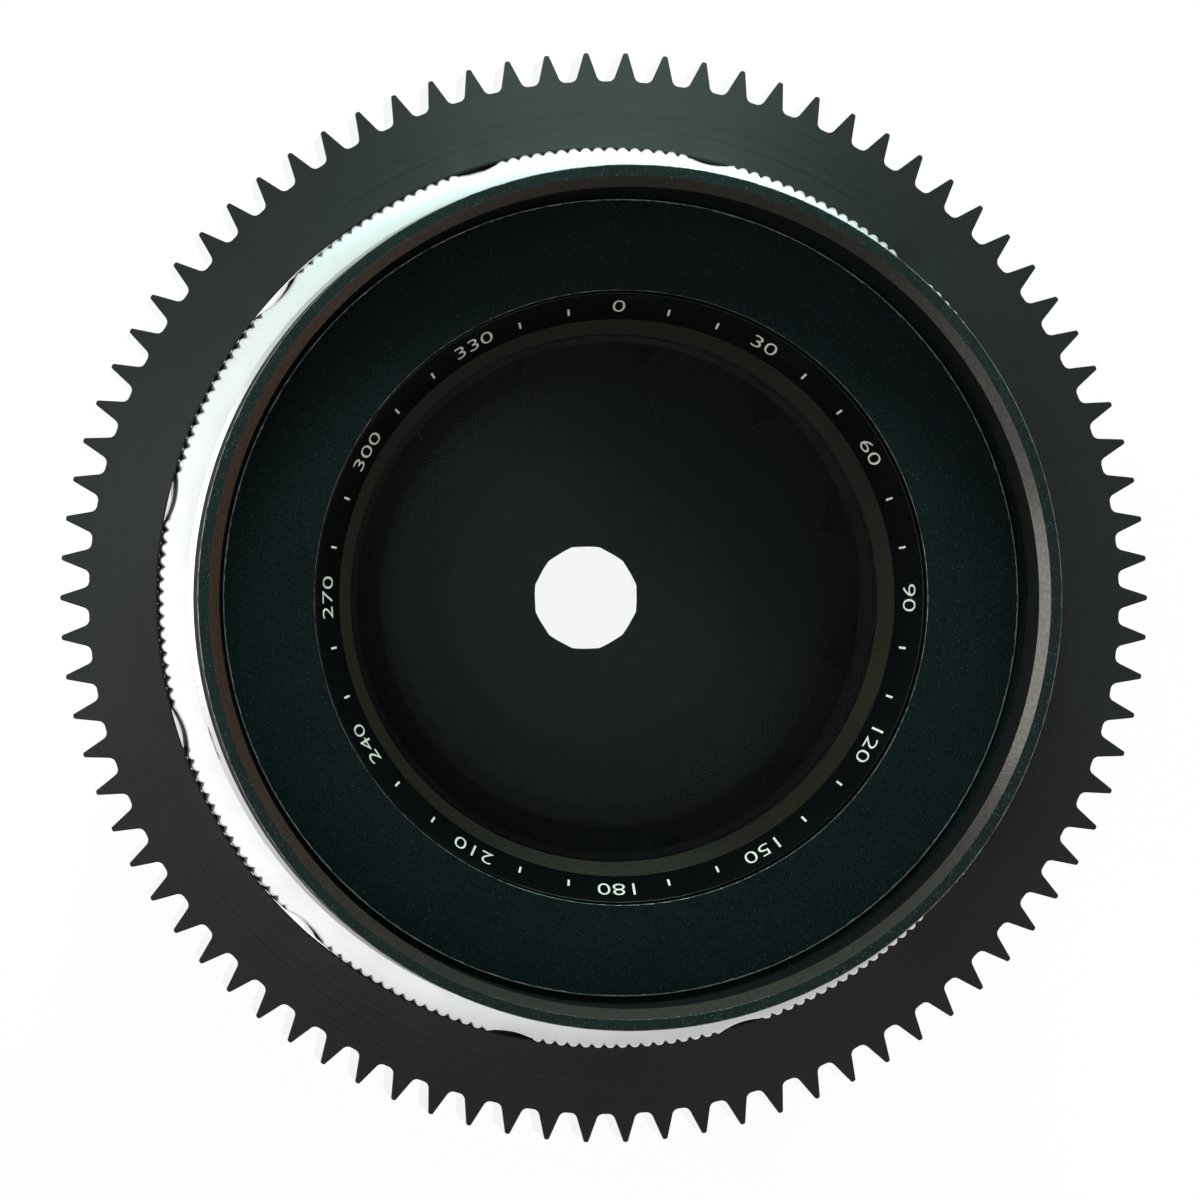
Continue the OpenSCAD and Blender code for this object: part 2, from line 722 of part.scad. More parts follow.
// The clamp ring of the front glass: its bore is cut in fine steps against stray light
module front_retainer() {
    n = retainer_steps;
    step_h = (z_cell_top - z_retainer) / n;
    step_w = (name_in_r - front_clear_r) / n;
    color("#2a261c") turned_piece(concat(
        [[retainer_r, z_retainer], [retainer_r, z_cell_top]],
        [for (k = [n:-1:1], e = [1, 0]) [front_clear_r + k * step_w, z_retainer + (k - 1 + e) * step_h]],
        [[front_clear_r + step_w, z_retainer]]
    ));
}

module lens_spacer() {
    color("#1a1b1d") ring(doublet_r - spacer_wall, doublet_r, z_spacer_low, z_spacer_top);
}

module name_ring() {
    lip = 0.08;
    color("#101113") turned_piece([
        [name_in_r, z_name_low], [name_flange_r, z_name_low], [name_flange_r, z_name_low + name_flange_t],
        [name_out_r, z_name_low + name_flange_t], [name_out_r, z_name_top], [name_out_r - lip, z_name_top]
    ]);
}

module front_cover() {
    color("#17181a") difference() {
        turned_piece([
            [cell_flange_r + run, z_cover_low], [cover_low_r, z_cover_low],
            [cover_low_r, z_aperture_top + cover_step], [cover_r, z_aperture_top + cover_step],
            [cover_r, z_cover_top], [own_thread_r + run, z_cover_top],
            [own_thread_r + run, z_cell_top + fit], [cell_flange_r + run, z_cell_top + fit]
        ]);
        for (a = cover_screw_angles) rotate([0, 0, a]) translate([cover_screw_at, 0, 0]) {
            translate([0, 0, z_cover_low - 1])
                cylinder(r = cover_screw_r + fit, h = z_cover_top - z_cover_low + 2, $fn = 32);
            translate([0, 0, z_cover_top - cover_head_h - cover_head_sink])
                cylinder(r = cover_head_r + free, h = cover_head_h + 1, $fn = 32);
        }
    }
}

module front_cover_screws() {
    z_head = z_cover_top - cover_head_h - cover_head_sink + fit;
    z_end = z_tube_front - cover_screw_len + fit;
    color("dimgray") for (a = cover_screw_angles) rotate([0, 0, a]) translate([cover_screw_at, 0, 0])
        difference() {
            union() {
                translate([0, 0, z_end]) cylinder(r = cover_screw_r, h = z_head - z_end + eps, $fn = 32);
                translate([0, 0, z_head]) cylinder(r = cover_head_r, h = cover_head_h, $fn = 32);
            }
            translate([-2 * cover_head_r, -cover_slot_w / 2, z_head + cover_head_h - cover_slot_h])
                cube([4 * cover_head_r, cover_slot_w, 1]);
        }
}

module step_up_ring() {
    rim_w = step_r - filter_r - rim_lead;
    edge = min(0.2, rim_w / 3);
    z_groove = z_floor - floor_groove_h;
    color("#141618") difference() {
        turned_piece([
            [step_bore_r, z_spigot_low], [own_thread_r, z_spigot_low],
            [own_thread_r, z_step_back], [step_r - edge, z_step_back], [step_r, z_step_back + edge],
            [step_r, z_rim - edge], [step_r - edge, z_rim], [filter_r + rim_lead, z_rim],
            [filter_r, z_rim - rim_lead], [filter_r, z_floor + relief_h],
            [filter_r + relief_w, z_floor + relief_h],
            [filter_r + relief_w, z_groove], [filter_r - floor_groove_w, z_groove],
            [filter_r - floor_groove_w, z_floor], [step_bore_r, z_floor]
        ]);
        // Grip grooves round the outside
        for (k = [0:grip_grooves - 1]) translate([0, 0, z_floor + grip_groove_w + k * grip_groove_pitch])
            ring(step_r - grip_groove_h, step_r + 1, 0, grip_groove_w);
    }
}

module iris_base_plate() {
    color("#202224") difference() {
        ring(iris_plate_in, tube_bore - fit, z_base_low, z_base_top);
        for (k = [0:blade_count - 1]) rotate([0, 0, blade_start + k * 360 / blade_count])
            translate([blade_pivot_r, 0, z_base_low - eps])
                cylinder(r = blade_pin_r + run, h = base_plate_t + 2 * eps, $fn = 32);
    }
}

module iris_spacer() {
    color("#202224") ring(spacer_in, tube_bore - fit, z_base_top, z_cam_low - endplay);
}

module rear_cell() {
    color("#1a1b1d") turned_piece([
        [rear_glass_r + run, z_rear_keeper_low], [rear_cell_flange_r, z_rear_keeper_low],
        [rear_cell_flange_r, z_rear_keeper_low + rear_cell_flange_t],
        [rear_cell_r + rear_cell_root, z_web_low - fit],
        [rear_cell_r, z_web_low - fit], [rear_cell_r, z_rear_cell_top],
        [rear_clear_r, z_rear_cell_top], [rear_clear_r, z_rear_seat], [rear_glass_r + run, z_rear_seat]
    ]);
}

module rear_element() {
    color("#5a7f88", 0.5) rotate_extrude() glass_section(rear_glass_r, rear_curve, z_rear_front, z_rear_back);
}

module rear_keeper() {
    notch_w = 1.2;
    notch_h = 0.6;
    color("#1a1b1d") difference() {
        ring(rear_glass_r - rear_keeper_wall, rear_glass_r, z_rear_keeper_low, z_rear_keeper_top);
        for (a = [90, 270]) rotate([0, 0, a])
            translate([0, -notch_w / 2, z_rear_keeper_low - 1])
                cube([rear_glass_r + 1, notch_w, notch_h + 1]);
    }
}

// Iris control, which turns on the optical block

module aperture_ring() {
    edge = 0.25;
    land = 0.7;
    ribs_top = z_aperture_top - land;
    ribs_low = ribs_top - aperture_rib_len;
    lead = 0.2;
    color("gainsboro") difference() {
        union() {
            turned_piece([
                [0, z_aperture_low], [aperture_r - edge, z_aperture_low], [aperture_r, z_aperture_low + edge],
                [aperture_r, ribs_low - lead], [aperture_r - aperture_rib_h, ribs_low],
                [aperture_r - aperture_rib_h, ribs_top], [aperture_r, ribs_top + lead],
                [aperture_r, z_aperture_top - edge], [aperture_r - edge, z_aperture_top], [0, z_aperture_top]
            ]);
            translate([0, 0, ribs_low]) linear_extrude(height = ribs_top - ribs_low)
                ribbed_disc(aperture_r - aperture_rib_h, aperture_r, aperture_ribs);
        }
        disc(journal_r + run, z_aperture_low - 1, z_aperture_top + 1);
        disc(aperture_skirt_in, z_journal_top, z_aperture_top + 1);
        radial_pin(drive_screw_r + fit, journal_r - hole_over, aperture_r + hole_over, z_drive, drive_angle);
    }
}

module iris_cam_ring() {
    skirt_over = 0.4;
    color("#8a7440") difference() {
        union() {
            ring(iris_plate_in, skirt_out, z_cam_low, z_cam_top);
            ring(skirt_in, skirt_out, z_cam_top - eps, z_drive + drive_screw_r + skirt_over);
        }
        for (k = [0:blade_count - 1]) rotate([0, 0, blade_start + k * 360 / blade_count]) cam_slot();
        radial_pin(drive_screw_r + fit, skirt_in - hole_over, skirt_out + hole_over, z_drive, drive_angle);
    }
}

// Where the drive pin of the first blade stands after the blade has swung in by the given angle
function drive_at(swing) = let (p = [blade_pivot_r, 0])
    p + turned(polar(blade_pivot_r, blade_span) - p, swing);

// The same pin seen from the cam ring, which turns twice as far as the blade
function slot_at(share) = turned(drive_at(blade_swing * (1 - share)), ring_throw * share);

// A straight slot along a radius, as long and as wide as that pin's whole path needs
module cam_slot() {
    half = blade_pin_r + run;
    path = [for (k = [0:slot_steps]) slot_at(k / slot_steps)];
    open_angle = atan2(path[slot_steps][1], path[slot_steps][0]);
    unturned = [for (p = path) turned(p, -open_angle)];
    reach = [for (p = unturned) p[0]];
    sway = [for (p = unturned) p[1]];
    rotate([0, 0, open_angle]) translate([min(reach) - half, min(sway) - half, z_cam_low - eps])
        cube([max(reach) - min(reach) + 2 * half, max(sway) - min(sway) + 2 * half, cam_plate_t + 2 * eps]);
}

module iris_drive_screw() {
    color("dimgray")
        grub_screws(drive_screw_r, skirt_in + fit, aperture_r - drive_sink, z_drive, [drive_angle]);
}

// Outer and inner edge of a blade at an angle along it, with a round tab about each pin
function tab_edge(a, side) = blade_pivot_r * cos(a) + side * sqrt(max(0, pow(blade_tab_r, 2)
    - pow(blade_pivot_r * sin(a), 2)));
function end_offset(a) = a < blade_span / 2 ? a : blade_span - a;
function blade_outer(a) = let (e = end_offset(a))
    e < tab_angle ? max(tab_edge(e, 1), e < 0 ? 0 : blade_out_r) : blade_out_r;
function blade_inner(a) = let (e = end_offset(a))
    e < 0 ? tab_edge(e, -1)
    : iris_open_r + (tab_edge(0, -1) - iris_open_r) * (1 - sin(90 * min(1, e / heel_angle)));

// Angles of the sections: close together at both ends, where the outline turns
tab_steps = [for (s = [-0.995, -0.8, -0.45, 0, 0.45, 0.8, 1]) s * tab_angle];
blade_stations = concat(
    tab_steps,
    [for (k = [1:blade_steps - 1]) heel_angle + (blade_span - 2 * heel_angle) * (k - 1) / (blade_steps - 2)],
    [for (k = [len(tab_steps) - 1:-1:0]) blade_span - tab_steps[k]]
);

// One blade is a strip that climbs like a screw from its pivot end to its drive end, so that
// each blade lies over the next all round and none has to pass through another
module iris_blade(k) {
    n = len(blade_stations);
    points = [for (a = blade_stations) let (z = z_blade_pivot + blade_climb * a / 360)
        for (c = [[blade_inner(a), -1], [blade_outer(a), -1], [blade_outer(a), 1], [blade_inner(a), 1]])
            [c[0] * cos(a), c[0] * sin(a), z + c[1] * blade_t / 2]];
    sides = [for (s = [0:n - 2], c = [0:3]) let (i = 4 * s + c, j = 4 * s + (c + 1) % 4)
        each [[i, j, i + 4], [j, j + 4, i + 4]]];
    ends = [[0, 3, 2], [0, 2, 1], [4 * n - 4, 4 * n - 3, 4 * n - 2], [4 * n - 4, 4 * n - 2, 4 * n - 1]];
    pin_over = blade_gap + cam_plate_t * pin_share;
    pin_under = blade_gap + base_plate_t * pin_share;
    color("#2b2d30") rotate([0, 0, blade_start + (k - 1) * 360 / blade_count])
        translate([blade_pivot_r, 0, 0]) rotate([0, 0, blade_swing])
        translate([-blade_pivot_r, 0, 0]) union() {
            polyhedron(points, concat(sides, ends));
            translate([blade_pivot_r, 0, z_blade_pivot - pin_under])
                cylinder(r = blade_pin_r, h = pin_under, $fn = 32);
            translate([each polar(blade_pivot_r, blade_span), z_blade_drive])
                cylinder(r = blade_pin_r, h = pin_over, $fn = 32);
        }
}

camera_mount();
mount_screws();
fixed_barrel();
depth_scale_ring();
scale_ring_screws();
guide_keys();
guide_key_screws();
helicoid_keeper();
focus_ring();
helicoid_ring();
focus_ring_screws();
focus_stop_pin();
follow_focus_gear();
optical_tube();
front_cell();
front_element();
front_retainer();
lens_spacer();
doublet_crown();
doublet_flint();
name_ring();
front_cover();
front_cover_screws();
step_up_ring();
iris_base_plate();
iris_spacer();
rear_cell();
rear_element();
rear_keeper();
aperture_ring();
iris_cam_ring();
iris_drive_screw();
for (k = [1:blade_count])
    iris_blade(k);
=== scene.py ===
"""The looks of a short telephoto prime lens with a follow-focus gear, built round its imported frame.

The optical axis is +Z, and the lens stands on its mount with the front glass up. Lengths are
millimetres and angles degrees in every size field; meshes are written in metres.
"""

from __future__ import annotations

import logging
import math
from dataclasses import dataclass
from enum import Enum
from typing import Callable, Iterable, Optional, Sequence, Union

import bmesh
import bpy
from mathutils import Matrix, Vector


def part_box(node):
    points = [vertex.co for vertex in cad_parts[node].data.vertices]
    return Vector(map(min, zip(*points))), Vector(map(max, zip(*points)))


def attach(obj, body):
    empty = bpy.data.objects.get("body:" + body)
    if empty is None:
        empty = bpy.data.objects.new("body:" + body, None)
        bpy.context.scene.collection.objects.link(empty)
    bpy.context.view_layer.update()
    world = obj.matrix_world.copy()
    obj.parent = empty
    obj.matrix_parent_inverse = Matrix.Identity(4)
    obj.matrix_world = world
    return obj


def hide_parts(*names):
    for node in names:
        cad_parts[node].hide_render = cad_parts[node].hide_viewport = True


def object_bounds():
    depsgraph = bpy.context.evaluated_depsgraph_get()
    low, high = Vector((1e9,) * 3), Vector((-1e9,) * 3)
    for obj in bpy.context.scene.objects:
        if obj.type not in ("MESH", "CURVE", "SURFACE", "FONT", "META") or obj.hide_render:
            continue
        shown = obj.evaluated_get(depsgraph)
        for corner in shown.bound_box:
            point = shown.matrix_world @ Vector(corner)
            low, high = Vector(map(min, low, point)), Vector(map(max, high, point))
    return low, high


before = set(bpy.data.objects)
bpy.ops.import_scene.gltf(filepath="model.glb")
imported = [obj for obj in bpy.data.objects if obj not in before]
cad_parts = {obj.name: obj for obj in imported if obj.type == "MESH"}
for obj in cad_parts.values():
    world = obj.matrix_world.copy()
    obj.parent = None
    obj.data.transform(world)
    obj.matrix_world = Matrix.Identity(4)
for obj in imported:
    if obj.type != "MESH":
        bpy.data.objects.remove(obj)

LOG = logging.getLogger("lens")
MM = 0.001
CAD_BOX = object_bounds()

Point = tuple[float, float]
Colour = tuple[float, float, float]
Corner = tuple[float, float, float]
Value = Union["Wire", float]
Mesh = bpy.types.Mesh
Side = bpy.types.MeshPolygon


def srgb(red: int, green: int, blue: int) -> Colour:
    """Turns a colour as a picture holds it, 0 to 255, into the linear one that shaders take."""

    def linear(level: float) -> float:
        return level / 12.92 if level <= 0.04045 else ((level + 0.055) / 1.055) ** 2.4

    return linear(red / 255), linear(green / 255), linear(blue / 255)


class Wire:
    """A socket in a node tree, with arithmetic that adds Math nodes."""

    def __init__(self, board: "Board", socket: bpy.types.NodeSocket) -> None:
        """Holds the board and the output socket."""
        self.board = board
        self.socket = socket

    def __add__(self, other: Value) -> "Wire":
        """Sum."""
        return self.board.maths("ADD", self, other)

    def __sub__(self, other: Value) -> "Wire":
        """Difference."""
        return self.board.maths("SUBTRACT", self, other)

    def __rsub__(self, other: Value) -> "Wire":
        """Difference, with the wire on the right."""
        return self.board.maths("SUBTRACT", other, self)

    def __mul__(self, other: Value) -> "Wire":
        """Product."""
        return self.board.maths("MULTIPLY", self, other)

    def __pow__(self, other: Value) -> "Wire":
        """Power."""
        return self.board.maths("POWER", self, other)

    def __or__(self, other: Value) -> "Wire":
        """The larger of two masks."""
        return self.board.maths("MAXIMUM", self, other)

    __radd__ = __add__


class Board:
    """A node tree and the few calls that finishes and repeats make on it."""

    MIX_SHARE, MIX_FIRST, MIX_SECOND, MIX_RESULT = 0, 6, 7, 2

    def __init__(self, tree: bpy.types.NodeTree) -> None:
        """Holds the tree."""
        self.tree = tree

    def node(
        self, kind: str, settings: Optional[dict] = None, sockets: Optional[dict] = None
    ) -> bpy.types.Node:
        """Adds any node.

        Args:
            kind: the node's type.
            settings: its properties, set first.
            sockets: values or wires for its inputs, by name or by number.

        Returns:
            The node.
        """
        made = self.tree.nodes.new(kind)
        for key, value in (settings or {}).items():
            setattr(made, key, value)
        self.fill(made, sockets or {})
        return made

    def fill(self, made: bpy.types.Node, sockets: dict) -> None:
        """Links wires to a node's inputs, or sets the inputs' own values."""
        for key, value in sockets.items():
            socket = made.inputs[key]
            if isinstance(value, Wire):
                self.tree.links.new(value.socket, socket)
            elif isinstance(value, tuple) and len(value) == 3 and len(socket.default_value) == 4:
                socket.default_value = (*value, 1.0)
            else:
                socket.default_value = value

    def out(self, made: bpy.types.Node, key: Union[str, int] = 0) -> Wire:
        """One output of a node as a wire."""
        return Wire(self, made.outputs[key])

    def first(self, kind: str, settings: Optional[dict] = None, sockets: Optional[dict] = None) -> Wire:
        """Adds a node and gives its first output."""
        return self.out(self.node(kind, settings, sockets))

    def maths(self, operation: str, left: Value, right: Value) -> Wire:
        """A Math node of two values."""
        return self.first("ShaderNodeMath", {"operation": operation}, {0: left, 1: right})

    def fade(self, value: Wire, low: float, high: float) -> Wire:
        """A mask that climbs smoothly from 0 where value is low to 1 where it is high."""
        return self.first(
            "ShaderNodeMapRange", {"interpolation_type": "SMOOTHSTEP"},
            {"Value": value, "From Min": low, "From Max": high},
        )

    def blend(self, share: Value, first: Union[Wire, Colour], second: Union[Wire, Colour]) -> Wire:
        """A colour between two others."""
        made = self.node("ShaderNodeMix", {"data_type": "RGBA"}, {
            self.MIX_SHARE: share, self.MIX_FIRST: first, self.MIX_SECOND: second,
        })
        return self.out(made, self.MIX_RESULT)

    def place(self) -> Wire:
        """The point on the piece, in metres, as it stands at rest."""
        return self.out(self.node("ShaderNodeTexCoord"), "Object")

    def split(self, vector: Wire) -> list[Wire]:
        """The X, Y and Z of a vector."""
        parts = self.node("ShaderNodeSeparateXYZ", sockets={0: vector})
        return [self.out(parts, k) for k in range(3)]

    def section(self) -> tuple[Wire, Wire]:
        """The distance from the optical axis and the height above the flange, in millimetres."""
        x, y, z = self.split(self.place())
        return (x * x + y * y) ** 0.5 * (1 / MM), z * (1 / MM)

    def noise(self, per_mm: float, detail: float = 2.0, roughness: float = 0.5) -> Wire:
        """Even noise of that many lumps to the millimetre."""
        return self.first("ShaderNodeTexNoise", sockets={
            "Vector": self.place(), "Scale": per_mm / MM, "Detail": detail, "Roughness": roughness,
        })

    def lines(self, along: Wire) -> Wire:
        """Noise along one measure, such as the rings that a lathe leaves."""
        return self.first(
            "ShaderNodeTexNoise", {"noise_dimensions": "1D"},
            {"W": along, "Scale": 1.0, "Detail": 3.0, "Roughness": 0.6},
        )

    def bump(self, height: Wire, depth: float) -> Wire:
        """A normal from a height that swings by that depth in millimetres."""
        return self.first("ShaderNodeBump", sockets={
            "Height": height, "Distance": depth * MM, "Strength": 1.0,
        })


def new_material(name: str) -> tuple[bpy.types.Material, Board, bpy.types.Node]:
    """A material with its board and its Principled shader."""
    material = bpy.data.materials.new(name)
    material.use_nodes = True
    return material, Board(material.node_tree), material.node_tree.nodes["Principled BSDF"]


class Marks(Enum):
    """What the last process left on a surface."""

    GRAIN = "even grain, as of paint or blasting"
    TURNED = "fine rings, as of a lathe"


@dataclass(frozen=True)
class Finish:
    """One surface finish.

    Attributes:
        name: the material's name.
        colour: its main colour.
        drift: the colour that its patches drift to.
        metallic: 1 for bare metal.
        roughness: its mean roughness.
        uneven: how far the roughness swings.
        specular: the shader's specular level.
        coat: weight of a clear coat.
        brushed: how far its gloss is drawn out across its turning rings.
        marks: grain or turning rings.
        per_mm: how many grains or rings to the millimetre.
        depth: how deep they are, in millimetres.
        patch_per_mm: how many colour patches to the millimetre.
        sparkle: colour of its flakes, if it has any.
        worn: section corners that have rubbed through, as radius, height and width of the line.
        bare: what shows there.
    """

    name: str
    colour: Colour
    drift: Colour
    metallic: float = 0.0
    roughness: float = 0.4
    uneven: float = 0.1
    specular: float = 0.5
    coat: float = 0.0
    brushed: float = 0.0
    marks: Marks = Marks.GRAIN
    per_mm: float = 8.0
    depth: float = 0.004
    patch_per_mm: float = 0.25
    sparkle: Optional[Colour] = None
    worn: tuple[Corner, ...] = ()
    bare: Colour = srgb(140, 142, 136)

    def material(self) -> bpy.types.Material:
        """Builds the finish, or returns it if it has been built."""
        label = self.name + "_finish"
        if label in bpy.data.materials:
            return bpy.data.materials[label]
        patch_range, patch_share, mean = (0.25, 0.8), 0.3, 0.5
        bare_roughness, across_rings = 0.3, 0.25
        material, board, shader = new_material(label)
        radius, height = board.section()
        patches = board.noise(self.patch_per_mm, detail=4.0, roughness=0.6)
        if self.marks is Marks.TURNED:
            fine = board.lines((radius + height) * self.per_mm)
        else:
            fine = board.noise(self.per_mm)
        colour = board.blend(board.fade(patches, *patch_range), self.colour, self.drift)
        swing = (fine - mean) * self.uneven + (patches - mean) * (patch_share * self.uneven)
        rough = self.roughness + swing
        metal: Value = self.metallic
        if self.sparkle is not None:
            colour = board.blend(self.flakes(board), colour, self.sparkle)
        if self.worn:
            rubbed = self.rubbed(board, radius, height)
            colour = board.blend(rubbed, colour, self.bare)
            rough = rough * (1 - rubbed) + rubbed * bare_roughness
            metal = rubbed * (1 - self.metallic) + self.metallic
        board.fill(shader, {
            "Base Color": colour, "Roughness": rough, "Metallic": metal,
            "Normal": board.bump(fine, self.depth), "Specular IOR Level": self.specular,
            "Coat Weight": self.coat, "Anisotropic": self.brushed, "Anisotropic Rotation": across_rings,
        })
        return material

    def flakes(self, board: Board) -> Wire:
        """A mask of small flakes, a few to the square millimetre."""
        per_mm, chance, reach = 13.0, (0.8, 0.98), (0.15, 0.4)
        cells = board.node("ShaderNodeTexVoronoi", sockets={"Vector": board.place(), "Scale": per_mm / MM})
        drawn = board.first("ShaderNodeSeparateColor", sockets={0: board.out(cells, "Color")})
        return board.fade(drawn, *chance) * (1 - board.fade(board.out(cells, "Distance"), *reach))

    def rubbed(self, board: Board, radius: Wire, height: Wire) -> Wire:
        """A mask of broken lines along the worn corners."""
        gap_per_mm, gap_mean, sway, core = 1.6, 0.45, 1.6, 0.3
        gaps = board.noise(gap_per_mm, detail=3.0, roughness=0.7)
        mask: Value = 0.0
        for r, z, wide in self.worn:
            off, up = radius - r, height - z
            near = (off * off + up * up) ** 0.5 + (gaps - gap_mean) * (sway * wide)
            mask = (1 - board.fade(near, core * wide, wide)) | mask
        return mask


@dataclass(frozen=True)
class Glass:
    """Coated optical glass.

    Attributes:
        name: the material's name.
        ior: refractive index.
        tint: colour that the glass lets through.
        coating: colour of the light that the coating still reflects.
    """

    name: str
    ior: float
    tint: Colour
    coating: Colour

    def material(self) -> bpy.types.Material:
        """Builds the glass, with a trace of haze that differs from place to place."""
        haze_per_mm, haze_range, haze_most = 0.3, (0.5, 1.2), 0.02
        material, board, shader = new_material(self.name + "_finish")
        haze = board.fade(board.noise(haze_per_mm, detail=3.0), *haze_range)
        board.fill(shader, {
            "Roughness": haze * haze_most, "Base Color": self.tint, "Specular Tint": self.coating,
            "IOR": self.ior, "Transmission Weight": 1.0,
        })
        return material


SCREW_STEEL = Finish(
    "screw_steel", srgb(150, 149, 145), srgb(120, 119, 116), metallic=1.0, roughness=0.34, uneven=0.16,
    per_mm=14.0, depth=0.002,
)
BRASS = Finish(
    "brass", srgb(190, 152, 84), srgb(160, 122, 62), metallic=1.0, roughness=0.36, uneven=0.14,
    marks=Marks.TURNED, per_mm=9.0, depth=0.003,
)
DARK_BRONZE = Finish(
    "dark_bronze", srgb(40, 34, 24), srgb(30, 26, 19), metallic=0.5, roughness=0.5, uneven=0.12,
    marks=Marks.TURNED, per_mm=9.0, depth=0.003,
)
INNER_BLACK = Finish(
    "inner_black", srgb(22, 23, 23), srgb(16, 17, 18), roughness=0.62, uneven=0.14, specular=0.3,
    marks=Marks.TURNED, per_mm=7.0,
)
BLADE_STEEL = Finish(
    "blade_steel", srgb(13, 15, 16), srgb(11, 13, 14), metallic=0.2, roughness=0.55, uneven=0.12,
    specular=0.2, per_mm=10.0, depth=0.001,
)
SATIN_SILVER = Finish(
    "satin_silver", srgb(222, 222, 220), srgb(213, 213, 212), metallic=1.0, roughness=0.32,
    marks=Marks.TURNED, per_mm=11.0, depth=0.002,
)
CHROME = Finish(
    "mount_chrome", srgb(206, 203, 196), srgb(196, 193, 186), metallic=1.0, roughness=0.26,
    marks=Marks.TURNED, depth=0.003,
)
GEAR_BLACK = Finish(
    "gear_black", srgb(25, 27, 26), srgb(21, 23, 22), roughness=0.43, uneven=0.5, specular=0.3,
    brushed=0.85, marks=Marks.TURNED, per_mm=5.0, patch_per_mm=0.12,
)
FLANK_BLACK = Finish(
    "gear_flank_black", srgb(19, 22, 22), srgb(14, 16, 16), roughness=0.14, uneven=0.04, coat=1.0,
    per_mm=6.0, depth=0.0005,
)
GLOSS_BLACK = Finish(
    "gloss_black", srgb(8, 10, 10), srgb(6, 7, 8), roughness=0.2, uneven=0.08, specular=0.22,
    marks=Marks.TURNED, per_mm=5.0, depth=0.002,
)
THREAD_BLACK = Finish(
    "thread_black", srgb(9, 10, 10), srgb(7, 8, 8), roughness=0.55, uneven=0.2, specular=0.07,
    marks=Marks.TURNED, per_mm=6.0, depth=0.003,
)
CLAMP_OLIVE = Finish(
    "clamp_olive_black", srgb(27, 23, 9), srgb(18, 16, 7), roughness=0.38, uneven=0.2, specular=0.17,
    marks=Marks.TURNED, depth=0.003,
)
WORN_LEAD = Finish(
    "worn_lead", srgb(90, 86, 81), srgb(75, 71, 66), metallic=0.9, roughness=0.24, uneven=0.2,
    per_mm=14.0, depth=0.006, patch_per_mm=4.0,
)
EDGE_PAINT = Finish("edge_paint", srgb(15, 15, 15), srgb(20, 20, 20), roughness=0.7, per_mm=10.0)
FIGURE_BLACK = Finish("figure_black", srgb(24, 24, 24), srgb(34, 33, 32), roughness=0.5, per_mm=12.0)
FIGURE_RED = Finish("figure_red", srgb(176, 38, 30), srgb(150, 32, 28), roughness=0.5, per_mm=12.0)
FIGURE_WHITE = Finish("figure_white", srgb(226, 220, 206), srgb(196, 190, 178), roughness=0.55, per_mm=12.0)


def unit(a: Point, b: Point) -> tuple[Point, float]:
    """The direction from one point to another, and their distance."""
    gap = math.dist(a, b)
    return ((b[0] - a[0]) / gap, (b[1] - a[1]) / gap), gap


def rounded(
    line: Sequence[Point], radius: Union[float, Sequence[float]], steps: int = 3, closed: bool = True
) -> list[tuple[Point, Point]]:
    """Rounds the corners of a line.

    Args:
        line: its corners, counter-clockwise round the solid.
        radius: radius of the arcs, or of each corner's arc; less where an edge is short.
        steps: straight steps in an arc.
        closed: whether the last corner leads back to the first.

    Returns:
        Points along the rounded line, each with its outward normal.
    """
    straight, shared, alone = 1e-4, 0.45, 0.95
    made: list[tuple[Point, Point]] = []
    count = len(line)
    for k, corner in enumerate(line):
        if not closed and k in (0, count - 1):
            heading, _ = unit(line[0], line[1]) if k == 0 else unit(line[-2], line[-1])
            made.append((corner, (heading[1], -heading[0])))
            continue
        into, before = unit(line[k - 1], corner)
        onward, after = unit(corner, line[(k + 1) % count])
        across = into[0] * onward[1] - into[1] * onward[0]
        along = into[0] * onward[0] + into[1] * onward[1]
        bend = math.atan2(across, along)
        normal = (into[1], -into[0])
        if abs(bend) < straight:
            made.append((corner, normal))
            continue
        wanted = radius if isinstance(radius, (int, float)) else radius[k]
        room_before = before * (alone if not closed and k == 1 else shared)
        room_after = after * (alone if not closed and k == count - 2 else shared)
        cut = min(wanted * math.tan(abs(bend) / 2), room_before, room_after)
        arc = cut / math.tan(abs(bend) / 2) * (1 if bend > 0 else -1)
        start = (corner[0] - into[0] * cut, corner[1] - into[1] * cut)
        centre = (start[0] - arc * normal[0], start[1] - arc * normal[1])
        for s in range(steps + 1):
            c, d = math.cos(bend * s / steps), math.sin(bend * s / steps)
            turned = (normal[0] * c - normal[1] * d, normal[0] * d + normal[1] * c)
            made.append(((centre[0] + arc * turned[0], centre[1] + arc * turned[1]), turned))
    return made


def spun(r: float, z: float, angle: float) -> Vector:
    """The point at a radius and a height, at an angle in radians round the optical axis."""
    return Vector((r * math.cos(angle), r * math.sin(angle), z))


def quads(
    columns: int, rows: int, first: int = 0, ring: bool = True, tube: bool = True
) -> list[tuple[int, ...]]:
    """Faces between neighbouring columns of points.

    Args:
        columns: how many columns there are.
        rows: how many points each has.
        first: number of the first point.
        ring: whether the last column leads back to the first.
        tube: whether a column's last point leads back to its first.

    Returns:
        The faces, as numbers of points.
    """
    faces = []
    for k in range(columns if ring else columns - 1):
        here, there = first + k * rows, first + (k + 1) % columns * rows
        for i in range(rows if tube else rows - 1):
            j = (i + 1) % rows
            faces.append((here + i, there + i, there + j, here + j))
    return faces


def link(name: str, data: bpy.types.ID) -> bpy.types.Object:
    """Puts a mesh, curve, lamp or camera in the scene as an object at the origin."""
    piece = bpy.data.objects.new(name, data)
    bpy.context.scene.collection.objects.link(piece)
    return piece


